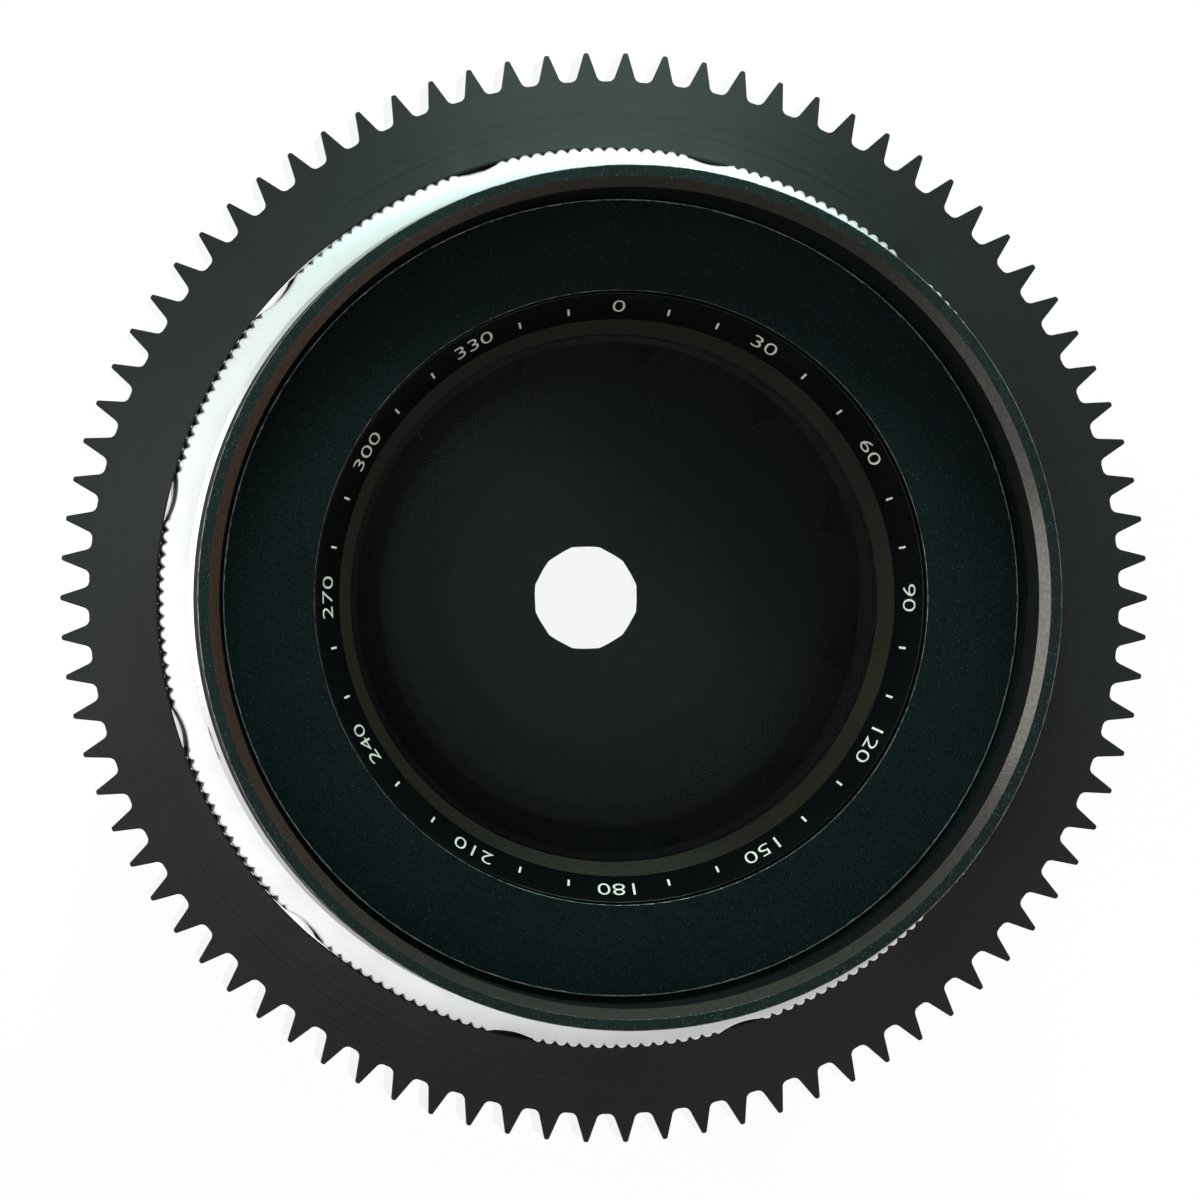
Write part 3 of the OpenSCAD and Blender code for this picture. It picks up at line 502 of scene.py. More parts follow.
def frozen(piece: bpy.types.Object, name: str) -> Mesh:
    """An object's final shape as a plain mesh; the object is removed."""
    bpy.context.view_layer.update()
    graph = bpy.context.evaluated_depsgraph_get()
    mesh = bpy.data.meshes.new_from_object(piece.evaluated_get(graph), depsgraph=graph)
    mesh.name = name
    bpy.data.objects.remove(piece)
    return mesh


def settled(shape: bmesh.types.BMesh, name: str) -> Mesh:
    """Writes a shape to a new mesh and frees it."""
    mesh = bpy.data.meshes.new(name)
    shape.to_mesh(mesh)
    shape.free()
    return mesh


def new_mesh(name: str, points: Sequence[Vector], faces: Sequence[Sequence[int]]) -> Mesh:
    """A smooth-shaded mesh from points in millimetres."""
    mesh = bpy.data.meshes.new(name)
    mesh.from_pydata([p * MM for p in points], [], faces)
    mesh.validate()
    mesh.shade_smooth()
    return mesh


def turned_ring(name: str, section: Sequence[Point], radius: float) -> Mesh:
    """A ring turned from its section.

    Args:
        name: the mesh's name.
        section: corners as radius and height, counter-clockwise.
        radius: radius of the broken edges.

    Returns:
        The mesh, with the true normals of its rounded section.
    """
    steps = 288
    outline = rounded(section, radius)
    points, normals = [], []
    for k in range(steps):
        angle = math.tau * k / steps
        points += [spun(*place, angle) for place, _ in outline]
        normals += [spun(*normal, angle) for _, normal in outline]
    mesh = new_mesh(name, points, quads(steps, len(outline)))
    mesh.normals_split_custom_set_from_vertices(normals)
    return mesh


def tidy_solid(mesh: Mesh, crease: float = 32.0) -> Mesh:
    """Turns a closed mesh's faces outwards and creases the edges that bend by more than an angle."""
    shape = bmesh.new()
    shape.from_mesh(mesh)
    bmesh.ops.recalc_face_normals(shape, faces=shape.faces)
    shape.to_mesh(mesh)
    shape.free()
    mesh.shade_smooth()
    mesh.set_sharp_from_angle(angle=math.radians(crease))
    return mesh


def drilled(mesh: Mesh, radius: float, wall: Point, height: float, turns: Sequence[float]) -> Mesh:
    """Drills holes through a ring's wall, square to the optical axis.

    Args:
        mesh: the closed mesh to drill.
        radius: radius of the holes.
        wall: the wall's inner and outer radius.
        height: height of their middles.
        turns: the angle of each, in degrees.

    Returns:
        The drilled mesh.
    """
    overshoot, sides = 1.0, 24
    middle = Matrix.Translation(Vector((sum(wall) / 2, 0, height)) * MM)
    shape = bmesh.new()
    for turn in turns:
        about = Matrix.Rotation(math.radians(turn), 4, "Z")
        bmesh.ops.create_cone(
            shape, cap_ends=True, segments=sides, radius1=radius * MM, radius2=radius * MM,
            depth=(wall[1] - wall[0] + 2 * overshoot) * MM,
            matrix=about @ middle @ Matrix.Rotation(math.pi / 2, 4, "Y"),
        )
    cutter = link(mesh.name + "_cutter", settled(shape, mesh.name + "_holes"))
    piece = link(mesh.name + "_blank", mesh)
    cut = piece.modifiers.new("holes", "BOOLEAN")
    cut.operation, cut.solver, cut.object = "DIFFERENCE", "EXACT", cutter
    made = frozen(piece, mesh.name)
    bpy.data.objects.remove(cutter)
    if "custom_normal" in made.attributes:
        made.attributes.remove(made.attributes["custom_normal"])
    return made


def seat(
    name: str, mesh: Mesh, body: str, finish: Optional[Finish] = None,
    stands_for: Sequence[str] = (),
) -> None:
    """Puts a finished piece on its body.

    Args:
        name: the piece's name.
        mesh: its mesh, in place.
        body: the body that it rides on.
        finish: its finish, where the mesh has none yet.
        stands_for: CAD nodes that it replaces.
    """
    piece = link(name, mesh)
    if finish is not None:
        mesh.materials.clear()
        mesh.materials.append(finish.material())
        mesh.polygons.foreach_set("material_index", [0] * len(mesh.polygons))
    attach(piece, body)
    if stands_for:
        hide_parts(*stands_for)
    LOG.info("%s: %d faces on %s", name, len(mesh.polygons), body)


def paint(mesh: Mesh, finish: Finish, chosen: Callable[[Side], bool]) -> None:
    """Gives some faces of a mesh, which already has a finish, another one."""
    mesh.materials.append(finish.material())
    for side in mesh.polygons:
        if chosen(side):
            side.material_index = len(mesh.materials) - 1


def dress(finish: Finish, *nodes: str) -> None:
    """Gives CAD nodes a finish."""
    for node in nodes:
        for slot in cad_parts[node].material_slots:
            slot.material = finish.material()
        LOG.info("%s: %s", node, finish.name)


def span(node: str) -> tuple[float, float, float]:
    """A CAD node's widest radius along X, and its lowest and highest point, in millimetres."""
    low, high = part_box(node)
    return high.x / MM, low.z / MM, high.z / MM


class Repeat:
    """A Geometry Nodes tree for a shape that repeats. Each run of it gives a plain mesh."""

    def __init__(self, name: str, inputs: dict[str, str]) -> None:
        """Starts the tree.

        Args:
            name: the tree's name.
            inputs: the type of each input, by label. A finish is added to them.
        """
        self.tree = bpy.data.node_groups.new(name, "GeometryNodeTree")
        face = self.tree.interface
        face.new_socket("Geometry", in_out="OUTPUT", socket_type="NodeSocketGeometry")
        self.sockets = {
            label: face.new_socket(label, in_out="INPUT", socket_type="NodeSocket" + kind).identifier
            for label, kind in {**inputs, "Finish": "Material"}.items()
        }
        self.nodes = Board(self.tree)
        self.entry = self.nodes.node("NodeGroupInput")

    def given(self, label: str) -> Wire:
        """One of the tree's inputs."""
        return self.nodes.out(self.entry, label)

    def end(self, geometry: Wire) -> None:
        """Gives realised geometry its finish and ends the tree."""
        dressed = self.nodes.first("GeometryNodeSetMaterial", sockets={
            "Geometry": geometry, "Material": self.given("Finish"),
        })
        self.nodes.node("NodeGroupOutput", sockets={"Geometry": dressed})

    def run(self, name: str, host: Mesh, finish: Finish, inputs: dict) -> Mesh:
        """Runs the tree once.

        Args:
            name: name of the result.
            host: the mesh that the tree starts from.
            finish: finish of the result.
            inputs: values by label.

        Returns:
            The result as a plain mesh. Objects among the inputs are removed.
        """
        piece = link(name + "_host", host)
        modifier = piece.modifiers.new(name, "NODES")
        modifier.node_group = self.tree
        for label, value in {**inputs, "Finish": finish.material()}.items():
            modifier[self.sockets[label]] = value
        mesh = frozen(piece, name)
        for spare in inputs.values():
            if isinstance(spare, bpy.types.Object):
                bpy.data.objects.remove(spare)
        return mesh


class Spread(Repeat):
    """Places one copy of a mesh at each of several angles round the optical axis."""

    TURN = "turn"

    def __init__(self) -> None:
        """Builds the tree, with inputs for the points, the copy and its welding distance."""
        super().__init__("spread_round_axis", {"Geometry": "Geometry", "Copy": "Object", "Weld": "Float"})
        nodes = self.nodes
        copy = nodes.node("GeometryNodeObjectInfo", sockets={"Object": self.given("Copy")})
        angle = nodes.node("GeometryNodeInputNamedAttribute", {"data_type": "FLOAT"}, {"Name": self.TURN})
        placed = nodes.first("GeometryNodeInstanceOnPoints", sockets={
            "Points": self.given("Geometry"),
            "Instance": nodes.out(copy, "Geometry"),
            "Rotation": nodes.first("ShaderNodeCombineXYZ", sockets={"Z": nodes.out(angle, "Attribute")}),
        })
        real = nodes.first("GeometryNodeRealizeInstances", sockets={"Geometry": placed})
        self.end(nodes.first("GeometryNodeMergeByDistance", sockets={
            "Geometry": real, "Distance": self.given("Weld"),
        }))

    def make(self, name: str, copy: Mesh, turns: Sequence[float], finish: Finish, weld: float = 0.0) -> Mesh:
        """Spreads copies of a mesh round the axis.

        Args:
            name: name of the result.
            copy: the mesh at angle 0.
            turns: the angle of each copy, in degrees.
            finish: finish of the result.
            weld: distance within which neighbours are joined, in millimetres.

        Returns:
            One plain mesh.
        """
        host = bpy.data.meshes.new(name)
        host.from_pydata([(0, 0, 0)] * len(turns), [], [])
        angles = host.attributes.new(self.TURN, "FLOAT", "POINT")
        angles.data.foreach_set("value", [math.radians(turn) for turn in turns])
        return self.run(name, host, finish, {"Copy": link(name + "_copy", copy), "Weld": weld * MM})


class ThreadTurns(Repeat):
    """Winds the ridge of a screw thread."""

    CREASE = 20.0

    def __init__(self) -> None:
        """Builds the tree, with inputs for the helix, the ridge and the height that it starts at."""
        super().__init__("thread_turns", {
            "Radius": "Float", "Length": "Float", "Turns": "Float", "Ridge": "Float", "Start": "Vector",
        })
        steps_a_turn, ridge_sides = 160, 4
        nodes = self.nodes
        path = nodes.first("GeometryNodeCurveSpiral", sockets={
            "Resolution": steps_a_turn, "Rotations": self.given("Turns"), "Height": self.given("Length"),
            "Start Radius": self.given("Radius"), "End Radius": self.given("Radius"),
        })
        ridge = nodes.first("GeometryNodeCurvePrimitiveCircle", sockets={
            "Resolution": ridge_sides, "Radius": self.given("Ridge"),
        })
        wound = nodes.first("GeometryNodeCurveToMesh", sockets={
            "Curve": nodes.first("GeometryNodeSetCurveNormal", {"mode": "Z_UP"}, {"Curve": path}),
            "Profile Curve": ridge, "Fill Caps": True,
        })
        raised = nodes.first("GeometryNodeTransform", sockets={
            "Geometry": wound, "Translation": self.given("Start"),
        })
        self.end(nodes.first("GeometryNodeRealizeInstances", sockets={"Geometry": raised}))

    def make(self, name: str, radius: float, reach: Point, pitch: float, finish: Finish) -> Mesh:
        """Winds a thread between two heights.

        Args:
            name: name of the result.
            radius: radius of the ridge's foot.
            reach: heights of its first and last turn.
            pitch: climb in one turn.
            finish: its finish.

        Returns:
            One plain mesh.
        """
        low, top = reach
        mesh = self.run(name, bpy.data.meshes.new(name), finish, {
            "Radius": radius * MM, "Length": (top - low) * MM, "Turns": (top - low) / pitch,
            "Ridge": pitch / 2 * MM, "Start": (0.0, 0.0, low * MM),
        })
        return tidy_solid(mesh, self.CREASE)


def flat_figure(label: str, size: float) -> Mesh:
    """A figure as a flat closed mesh about its own middle, in millimetres, from the built-in face."""
    thinner = 0.012
    curve = bpy.data.curves.new("figure", "FONT")
    curve.body = label
    curve.size = size
    curve.extrude = 0.1
    curve.offset = -thinner * size
    curve.resolution_u = 4
    curve.align_x = "CENTER"
    curve.align_y = "CENTER"
    return frozen(link("figure", curve), "figure")


class Facing(Enum):
    """How a band of figures lies."""

    OUTWARD = "on the outside of a ring, read with the front up"
    FRONT = "on a cone that faces the front, read with the tops outward"


@dataclass(frozen=True)
class Band:
    """A band on a turned surface, engraved with figures and ticks.

    Attributes:
        spread: what repeats the ticks.
        body: the body that the surface rides on.
        slot: the record's material slot for it; not used.
        radius: distance of its middle from the axis.
        height: height of its middle.
        facing: how the figures lie.
        slope: angle of the cone's wall from the radius, for FRONT.
        sunk: how deep the filling goes.
        proud: how far it stands out.
    """

    spread: Spread
    body: str
    slot: str
    radius: float
    height: float
    facing: Facing = Facing.OUTWARD
    slope: float = 0.0
    sunk: float = 0.05
    proud: float = 0.012

    def spot(self, turn: float, across: float, up: float, lift: float) -> Vector:
        """A point of the band, from its place on the flat figure.

        Args:
            turn: angle of the figure's middle, in degrees.
            across: distance to the right of it.
            up: distance above it.
            lift: distance above the surface.

        Returns:
            The point, in millimetres.
        """
        if self.facing is Facing.OUTWARD:
            angle = math.radians(turn) + across / self.radius
            return spun(self.radius + lift, self.height + up, angle)
        angle = math.radians(turn) - across / self.radius
        c, s = math.cos(math.radians(self.slope)), math.sin(math.radians(self.slope))
        return spun(self.radius + up * c - lift * s, self.height + up * s + lift * c, angle)

    def figures(
        self, name: str, marks: Iterable[tuple[str, float]], size: float, finish: Finish, up: float = 0.0
    ) -> None:
        """Engraves figures, as thin closed letters that follow the surface.

        Args:
            name: the piece's name.
            marks: each figure with its angle.
            size: height of the figures.
            finish: what fills them.
            up: distance of their middle above the band's middle.
        """
        longest, same = 0.35, 1e-5
        shape = bmesh.new()
        for label, turn in marks:
            letter = bmesh.new()
            letter.from_mesh(flat_figure(label, size))
            bmesh.ops.remove_doubles(letter, verts=letter.verts, dist=same)
            for _ in range(2):
                long_edges = [edge for edge in letter.edges if edge.calc_length() > longest]
                bmesh.ops.subdivide_edges(letter, edges=long_edges, cuts=1)
                bmesh.ops.triangulate(letter, faces=letter.faces)
            for v in letter.verts:
                x, y, deep = v.co
                v.co = self.spot(turn, x, y + up, self.proud if deep > 0 else -self.sunk) * MM
            part = settled(letter, name + "_letter")
            shape.from_mesh(part)
            bpy.data.meshes.remove(part)
        seat(name, settled(shape, name), self.body, finish)

    def ticks(self, name: str, turns: Sequence[float], size: Point, finish: Finish, up: float = 0.0) -> None:
        """Engraves lines along the figures' own upright.

        Args:
            name: the piece's name.
            turns: the angle of each line.
            size: width and length of a line.
            finish: what fills them.
            up: distance of their middle above the band's middle.
        """
        corners = [
            self.spot(0, x * size[0] / 2, up + y * size[1] / 2, lift)
            for lift in (-self.sunk, self.proud) for y in (-1, 1) for x in (-1, 1)
        ]
        faces = [(2, 3, 1, 0), (5, 7, 6, 4), (1, 5, 4, 0), (6, 7, 3, 2), (4, 6, 2, 0), (3, 7, 5, 1)]
        line = new_mesh(name + "_line", corners, faces)
        line.shade_flat()
        seat(name, self.spread.make(name, line, turns, finish), self.body)


@dataclass(frozen=True)
class Element:
    """A lens element with true ball surfaces.

    Attributes:
        name: the piece's name.
        nodes: CAD nodes that it replaces.
        edge_r: radius of its edge.
        front: height of the front pole and radius of the bulging front.
        back: height of the rear pole and radius of the hollow rear, or infinity if it is flat.
        dish_r: radius of the hollow, outside which the rear is flat.
        glass: what it is made of.
    """

    name: str
    nodes: tuple[str, ...]
    edge_r: float
    front: Point
    back: Point
    dish_r: float
    glass: Glass

    @staticmethod
    def ball(curve: float, r: float) -> Point:
        """How far a ball falls away at a distance from its pole, and the sine of its slope there."""
        if math.isinf(curve):
            return 0.0, 0.0
        return curve - math.sqrt(curve * curve - r * r), r / curve

    def line(self) -> list[tuple[Point, Point, int]]:
        """Half its section, from rear to front: points, normals, and 1 where the edge is painted."""
        rings, inside = 40, 0.01
        made: list[tuple[Point, Point, int]] = []
        for k in range(1, rings + 1):
            r = self.dish_r * k / rings
            drop, bend = self.ball(self.back[1], r)
            made.append(((r, self.back[0] - drop), (-bend, -math.sqrt(1 - bend * bend)), 0))
        low = made[-1][0][1]
        top = self.front[0] - self.ball(self.front[1], self.edge_r)[0]
        if self.dish_r < self.edge_r:
            made.append(((self.edge_r, low), (0.0, -1.0), 1))
        made += [((self.edge_r, z), (1.0, 0.0), 1) for z in (low + inside, top - inside)]
        for k in range(rings, 0, -1):
            r = self.edge_r * k / rings
            drop, bend = self.ball(self.front[1], r)
            made.append(((r, self.front[0] - drop), (bend, math.sqrt(1 - bend * bend)), int(k == rings)))
        return made

    def build(self) -> None:
        """Makes and seats the element, with its edge and its flat land painted."""
        steps, poles = 160, 2
        line = self.line()
        rows = len(line)
        points = [Vector((0, 0, self.back[0])), Vector((0, 0, self.front[0]))]
        normals = [Vector((0, 0, -1)), Vector((0, 0, 1))]
        fans = []
        for k in range(steps):
            angle = math.tau * k / steps
            points += [spun(*place, angle) for place, _, _ in line]
            normals += [spun(*normal, angle) for _, normal, _ in line]
            here, there = poles + k * rows, poles + (k + 1) % steps * rows
            fans += [(0, there, here), (1, here + rows - 1, there + rows - 1)]
        finishes = [finish for _, _, finish in line[1:]] * steps + [0] * len(fans)
        mesh = new_mesh(self.name, points, quads(steps, rows, first=poles, tube=False) + fans)
        mesh.polygons.foreach_set("material_index", finishes)
        mesh.normals_split_custom_set_from_vertices(normals)
        mesh.materials.append(self.glass.material())
        mesh.materials.append(EDGE_PAINT.material())
        seat(self.name, mesh, "optics", None, self.nodes)


@dataclass
class FrontGroup:
    """The step-up ring, the name ring, the cover behind them and the front glass.

    Attributes are radii, heights, depths below the rim and widths, all in millimetres.
    """

    spread: Spread
    threads: ThreadTurns
    floor_depth: float = 8.05
    floor_t: float = 1.5
    floor_wear: float = 0.14
    bore_r: float = 19.4
    bore_wear: float = 0.045
    spigot_r: float = 20.25
    thread_crest_r: float = 25.6
    thread_root_r: float = 25.98
    thread_pitch: float = 0.75
    thread_runout: float = 0.25
    rim_lead: float = 0.7
    rim_wear: float = 0.06
    groove_w: float = 0.4
    relief_h: float = 0.8
    grip_groove_w: float = 0.6
    grip_groove_h: float = 0.25
    grip_groove_pitch: float = 1.3
    grip_grooves: int = 4
    name_in_r: float = 17.65
    name_out_r: float = 19.33
    name_lip: float = 0.08
    name_flange_t: float = 0.75
    name_play: float = 0.05
    clear_r: float = 16.76
    clamp_steps: int = 8
    front_curve: float = 45.0
    front_back_curve: float = 330.0
    front_glass_t: float = 6.0
    crown_curve: float = 31.0
    flint_curve: float = 19.1
    flint_dish_r: float = 12.5
    doublet_t: float = 10.0
    rear_curve: float = 132.0
    figure_size: float = 1.9
    figure_step: int = 30
    tick_size: Point = (0.14, 0.7)
    tick_up: float = -0.2
    tick_step: int = 10

    def build(self) -> None:
        """Makes and seats the pieces."""
        self.step_up_ring()
        self.name_ring()
        self.clamp_ring()
        self.glasses()
        dress(INNER_BLACK, "front_cell", "lens_spacer", "optical_tube", "rear_cell", "rear_keeper")
        dress(self.ring_black("cover_black", ()), "front_cover")
        dress(SCREW_STEEL, "front_cover_screws")

    def ring_black(self, name: str, worn: tuple[Corner, ...]) -> Finish:
        """Black with fine flakes, rubbed through along some corners."""
        return Finish(
            name, srgb(3, 14, 15), srgb(2, 11, 12), roughness=0.5, uneven=0.12, specular=0.07,
            per_mm=16.0, depth=0.006, sparkle=srgb(44, 80, 80), worn=worn,
        )

    def step_up_ring(self) -> None:
        """The ring with the accessory thread, whose wall is cut back to the thread's root."""
        outer, low, rim = span("step_up_ring")
        floor, thread_top = rim - self.floor_depth, rim - self.rim_lead
        back, groove = floor - self.floor_t, floor - self.groove_w
        inner_floor_r = self.thread_crest_r - self.groove_w
        section: list[Point] = [
            (self.bore_r, low), (self.spigot_r, low), (self.spigot_r, back), (outer, back),
        ]
        for k in range(self.grip_grooves):
            z, deep = floor + self.grip_groove_w + k * self.grip_groove_pitch, outer - self.grip_groove_h
            z_end = z + self.grip_groove_w
            section += [(outer, z), (deep, z), (deep, z_end), (outer, z_end)]
        section += [
            (outer, rim), (self.thread_crest_r + self.rim_lead, rim), (self.thread_crest_r, thread_top),
            (self.thread_root_r, thread_top - self.thread_runout), (self.thread_root_r, groove),
            (inner_floor_r, groove), (inner_floor_r, floor), (self.bore_r, floor),
        ]
        black = self.ring_black("step_ring_black", (
            (inner_floor_r, floor, self.floor_wear), (self.bore_r, floor, self.bore_wear),
        ))
        mesh = turned_ring("step_up_ring_turned", section, radius=0.05)
        seat("step_up_ring_turned", mesh, "optics", black, ["step_up_ring"])
        self.rim_looks(mesh, outer, rim)
        turns = self.threads.make(
            "front_thread_turns", self.thread_root_r, (floor + self.relief_h, thread_top), self.thread_pitch,
            THREAD_BLACK,
        )
        seat("front_thread_turns", turns, "optics")

    def rim_looks(self, mesh: Mesh, outer: float, rim: float) -> None:
        """Paints the rim's top with painted light: a lighter copy of the ring's black with brighter flakes,
        because the top catches more light than the shaded well, and its outer edge is worn through. Also
        paints the lead into the thread, which has worn down to metal.
        """
        # Painted light: the rim's top is lighter and its flakes brighter than the ring's own black, standing
        # for the extra light that falls on it.
        rim_black = Finish(
            "rim_black", srgb(11, 24, 23), srgb(8, 19, 18), roughness=0.46, uneven=0.14, specular=0.12,
            per_mm=14.0, depth=0.008, sparkle=srgb(84, 112, 108), worn=((outer, rim, self.rim_wear),),
        )
        top_low, faces_up = rim - 0.06, 0.6
        lead_low, steepest, flattest = rim - self.rim_lead, -0.9, -0.5

        def is_top(side: Side) -> bool:
            return side.center.z > top_low * MM and side.normal.z > faces_up

        def is_lead(side: Side) -> bool:
            outward = side.normal.xy.dot(side.center.xy.normalized())
            return side.center.z > lead_low * MM and steepest < outward < flattest

        paint(mesh, rim_black, is_top)
        paint(mesh, WORN_LEAD, is_lead)

    def name_ring(self) -> None:
        """The glossy cone, with a plain scale of degrees in place of lettering."""
        _, low, top = span("name_ring")
        flange_r, flange_top = self.spigot_r - self.name_play, low + self.name_flange_t
        cone_out_r = self.name_out_r - self.name_lip
        section = [
            (self.name_in_r, low), (flange_r, low), (flange_r, flange_top), (self.name_out_r, flange_top),
            (self.name_out_r, top), (cone_out_r, top),
        ]
        mesh = turned_ring("name_ring_turned", section, radius=0.04)
        seat("name_ring_turned", mesh, "optics", GLOSS_BLACK, ["name_ring"])
        wide, tall = cone_out_r - self.name_in_r, top - low
        band = Band(
            self.spread, "optics", "gloss_black", self.name_in_r + wide / 2, low + tall / 2, Facing.FRONT,
            math.degrees(math.atan2(tall, wide)),
        )
        marks = [(str(a), 90 - a) for a in range(0, 360, self.figure_step)]
        band.figures("name_ring_figures", marks, self.figure_size, FIGURE_WHITE)
        turns = [a for a in range(0, 360, self.tick_step) if a % self.figure_step]
        band.ticks("name_ring_ticks", turns, self.tick_size, FIGURE_WHITE, self.tick_up)

    def clamp_ring(self) -> None:
        """The ring that clamps the front glass, cut in fine steps against stray light."""
        outer, low, top = span("front_retainer")
        n = self.clamp_steps
        rise, run = (top - low) / n, (self.name_in_r - self.clear_r) / n
        section: list[Point] = [(self.clear_r + run, low), (outer, low), (outer, top)]
        for k in range(n, 0, -1):
            r = self.clear_r + k * run
            section += [(r, low + k * rise), (r, low + (k - 1) * rise)]
        mesh = turned_ring("front_clamp_ring", section[:-1], radius=0.03)
        seat("front_clamp_ring", mesh, "optics", CLAMP_OLIVE, ["front_retainer"])

    def glasses(self) -> None:
        """The front element, the cemented pair as one body of glass, and the rear element."""
        front_r, _, front = span("front_element")
        crown_r, _, crown = span("doublet_crown")
        rear_r, rear_low, rear_top = span("rear_element")
        for element in (
            Element(
                "front_glass", ("front_element",), front_r, (front, self.front_curve),
                (front - self.front_glass_t, self.front_back_curve), front_r,
                Glass("front_coated_glass", 1.613, (0.99, 0.995, 0.99), (0.1, 0.118, 0.126)),
            ),
            Element(
                "doublet_glass", ("doublet_crown", "doublet_flint"), crown_r, (crown, self.crown_curve),
                (crown - self.doublet_t, self.flint_curve), self.flint_dish_r,
                Glass("doublet_coated_glass", 1.63, (0.985, 0.995, 0.985), (0.06, 0.09, 0.09)),
            ),
            Element(
                "rear_glass", ("rear_element",), rear_r, (rear_top, self.rear_curve),
                (rear_low, math.inf), rear_r,
                Glass("rear_coated_glass", 1.62, (0.99, 0.995, 0.99), (0.06, 0.05, 0.06)),
            ),
        ):
            element.build()


@dataclass
class FocusGroup:
    """The fluted focus ring, its distance scale and the follow-focus gear.

    Attributes are millimetres, apart from counts and angles. The depths of the gear's roots and of
    its plain face below the pitch circle are in modules.
    """

    spread: Spread
    gear_teeth: int = 86
    gear_module: float = 0.8
    gear_root_depth: float = 1.3
    gear_face_depth: float = 2.2
    gear_bore_r: float = 28.95
    bore_edge: float = 0.12
    tooth_edge: float = 0.05
    tooth_tip_half: float = 0.14
    tooth_foot_half: float = 0.74
    tooth_tip_round: float = 0.14
    tooth_foot_round: float = 0.45
    scale_r: float = 27.9
    scale_len: float = 10.0
    figure_size: float = 2.3
    figure_up: float = 0.9
    tick_size: Point = (0.16, 1.5)
    tick_up: float = -3.4
    focal_mm: float = 133.3
    travel_mm: float = 15.0
    throw: float = 270.0
    index_turn: float = -90.0
    distances_m: tuple[float, ...] = (1.4, 1.5, 1.7, 2, 2.5, 3, 4, 5, 7, 10, 20)
    skirt_bore_r: float = 26.5
    neck_bore_r: float = 24.42
    neck_top: float = 59.76
    recess_r: float = 25.5
    ribs: int = 228
    rib_root_r: float = 28.68
    rib_tip_r: float = 28.9
    flutes: int = 12
    flute_floor_r: float = 28.52
    flute_r: float = 4.5
    flute_start: float = 17.3
    flute_blend: float = 0.12
    face_r: float = 28.5
    bevel_in_r: float = 27.44
    bevel_h: float = 0.26
    rib_edge: float = 0.12
    skirt_edge: float = 0.4
    screw_r: float = 0.8
    screw_height: float = 57.14
    screw_turns: tuple[float, ...] = (45, 165, 285)
    weld: float = 0.002

    def build(self) -> None:
        """Makes and seats the pieces."""
        self.gear()
        self.ring()
        self.distance_scale()
        dress(BRASS, "helicoid_ring")
        dress(SCREW_STEEL, "focus_ring_screws", "focus_stop_pin")

    def grip_r(self, turn: float) -> float:
        """The grip's radius at an angle from a flute's middle: round ribs, cut by the flute."""
        place = (turn + self.flute_start) * self.ribs / 360
        off = abs(place - round(place)) * 2
        rib = self.rib_tip_r - (self.rib_tip_r - self.rib_root_r) * off * off
        middle = self.flute_floor_r + self.flute_r
        inside = self.flute_r ** 2 - (middle * math.sin(math.radians(turn))) ** 2
        if inside <= 0:
            return rib
        flute = middle * math.cos(math.radians(turn)) - math.sqrt(inside)
        near = max(self.flute_blend - abs(rib - flute), 0) / self.flute_blend
        return min(rib, flute) - near * near * self.flute_blend / 4

    def grip_turns(self) -> list[float]:
        """Angles across one sector, from one middle between flutes to the next."""
        half, step = 180 / self.flutes, 360 / self.ribs
        flute_reach, flute_steps, margin = 4.0, 18, 0.02
        rib_shares = (0, 0.18, 0.35, 0.5, 0.65, 0.82)
        first = math.ceil((self.flute_start - half) / step) - 1
        turns = [
            (k + share) * step - self.flute_start
            for k in range(first, first + self.ribs // self.flutes + 2) for share in rib_shares
        ]
        kept = [turn for turn in turns if flute_reach < abs(turn) < half - margin]
        fine = [flute_reach * k / flute_steps for k in range(-flute_steps, flute_steps + 1)]
        return sorted([-half, half, *kept, *fine])

    def ring(self) -> None:
        """The focus ring, from one sector with one flute."""
        _, low, top = span("focus_ring")
        grip_low, shoulder, e = low + self.scale_len, top - self.bevel_h, self.rib_edge
        slope = self.bevel_h / (self.face_r - self.bevel_in_r)
        crease = 36.0
        turns = self.grip_turns()
        points: list[Vector] = []
        for turn in turns:
            r = self.grip_r(turn)
            edge = shoulder + (self.face_r - r) * slope
            section = [
                (self.skirt_bore_r, low), (self.scale_r - self.skirt_edge, low),
                (self.scale_r, low + self.skirt_edge), (self.scale_r, grip_low), (r - e, grip_low),
                (r, grip_low + e), (r, edge - e), (r - e, edge + e * slope), (self.bevel_in_r, top),
                (self.recess_r, top), (self.recess_r, self.neck_top), (self.neck_bore_r, self.neck_top),
                (self.neck_bore_r, grip_low), (self.skirt_bore_r, grip_low),
            ]
            points += [spun(*place, math.radians(turn)) for place in section]
        sector = new_mesh("grip_sector", points, quads(len(turns), len(section), ring=False))
        starts = [self.flute_start + 360 * k / self.flutes for k in range(self.flutes)]
        blank = tidy_solid(self.spread.make("focus_ring_cut", sector, starts, SATIN_SILVER, self.weld))
        wall = (self.neck_bore_r, self.rib_tip_r)
        mesh = tidy_solid(drilled(blank, self.screw_r, wall, self.screw_height, self.screw_turns), crease)
        seat("focus_ring_cut", mesh, "focus", SATIN_SILVER, ["focus_ring"])

    def turn_at(self, metres: float) -> float:
        """Angle on the ring of a distance, from the thin-lens travel that it needs."""
        f = self.focal_mm * MM
        travel = f * f / (metres - 2 * f)
        return travel / (self.travel_mm * MM) * self.throw

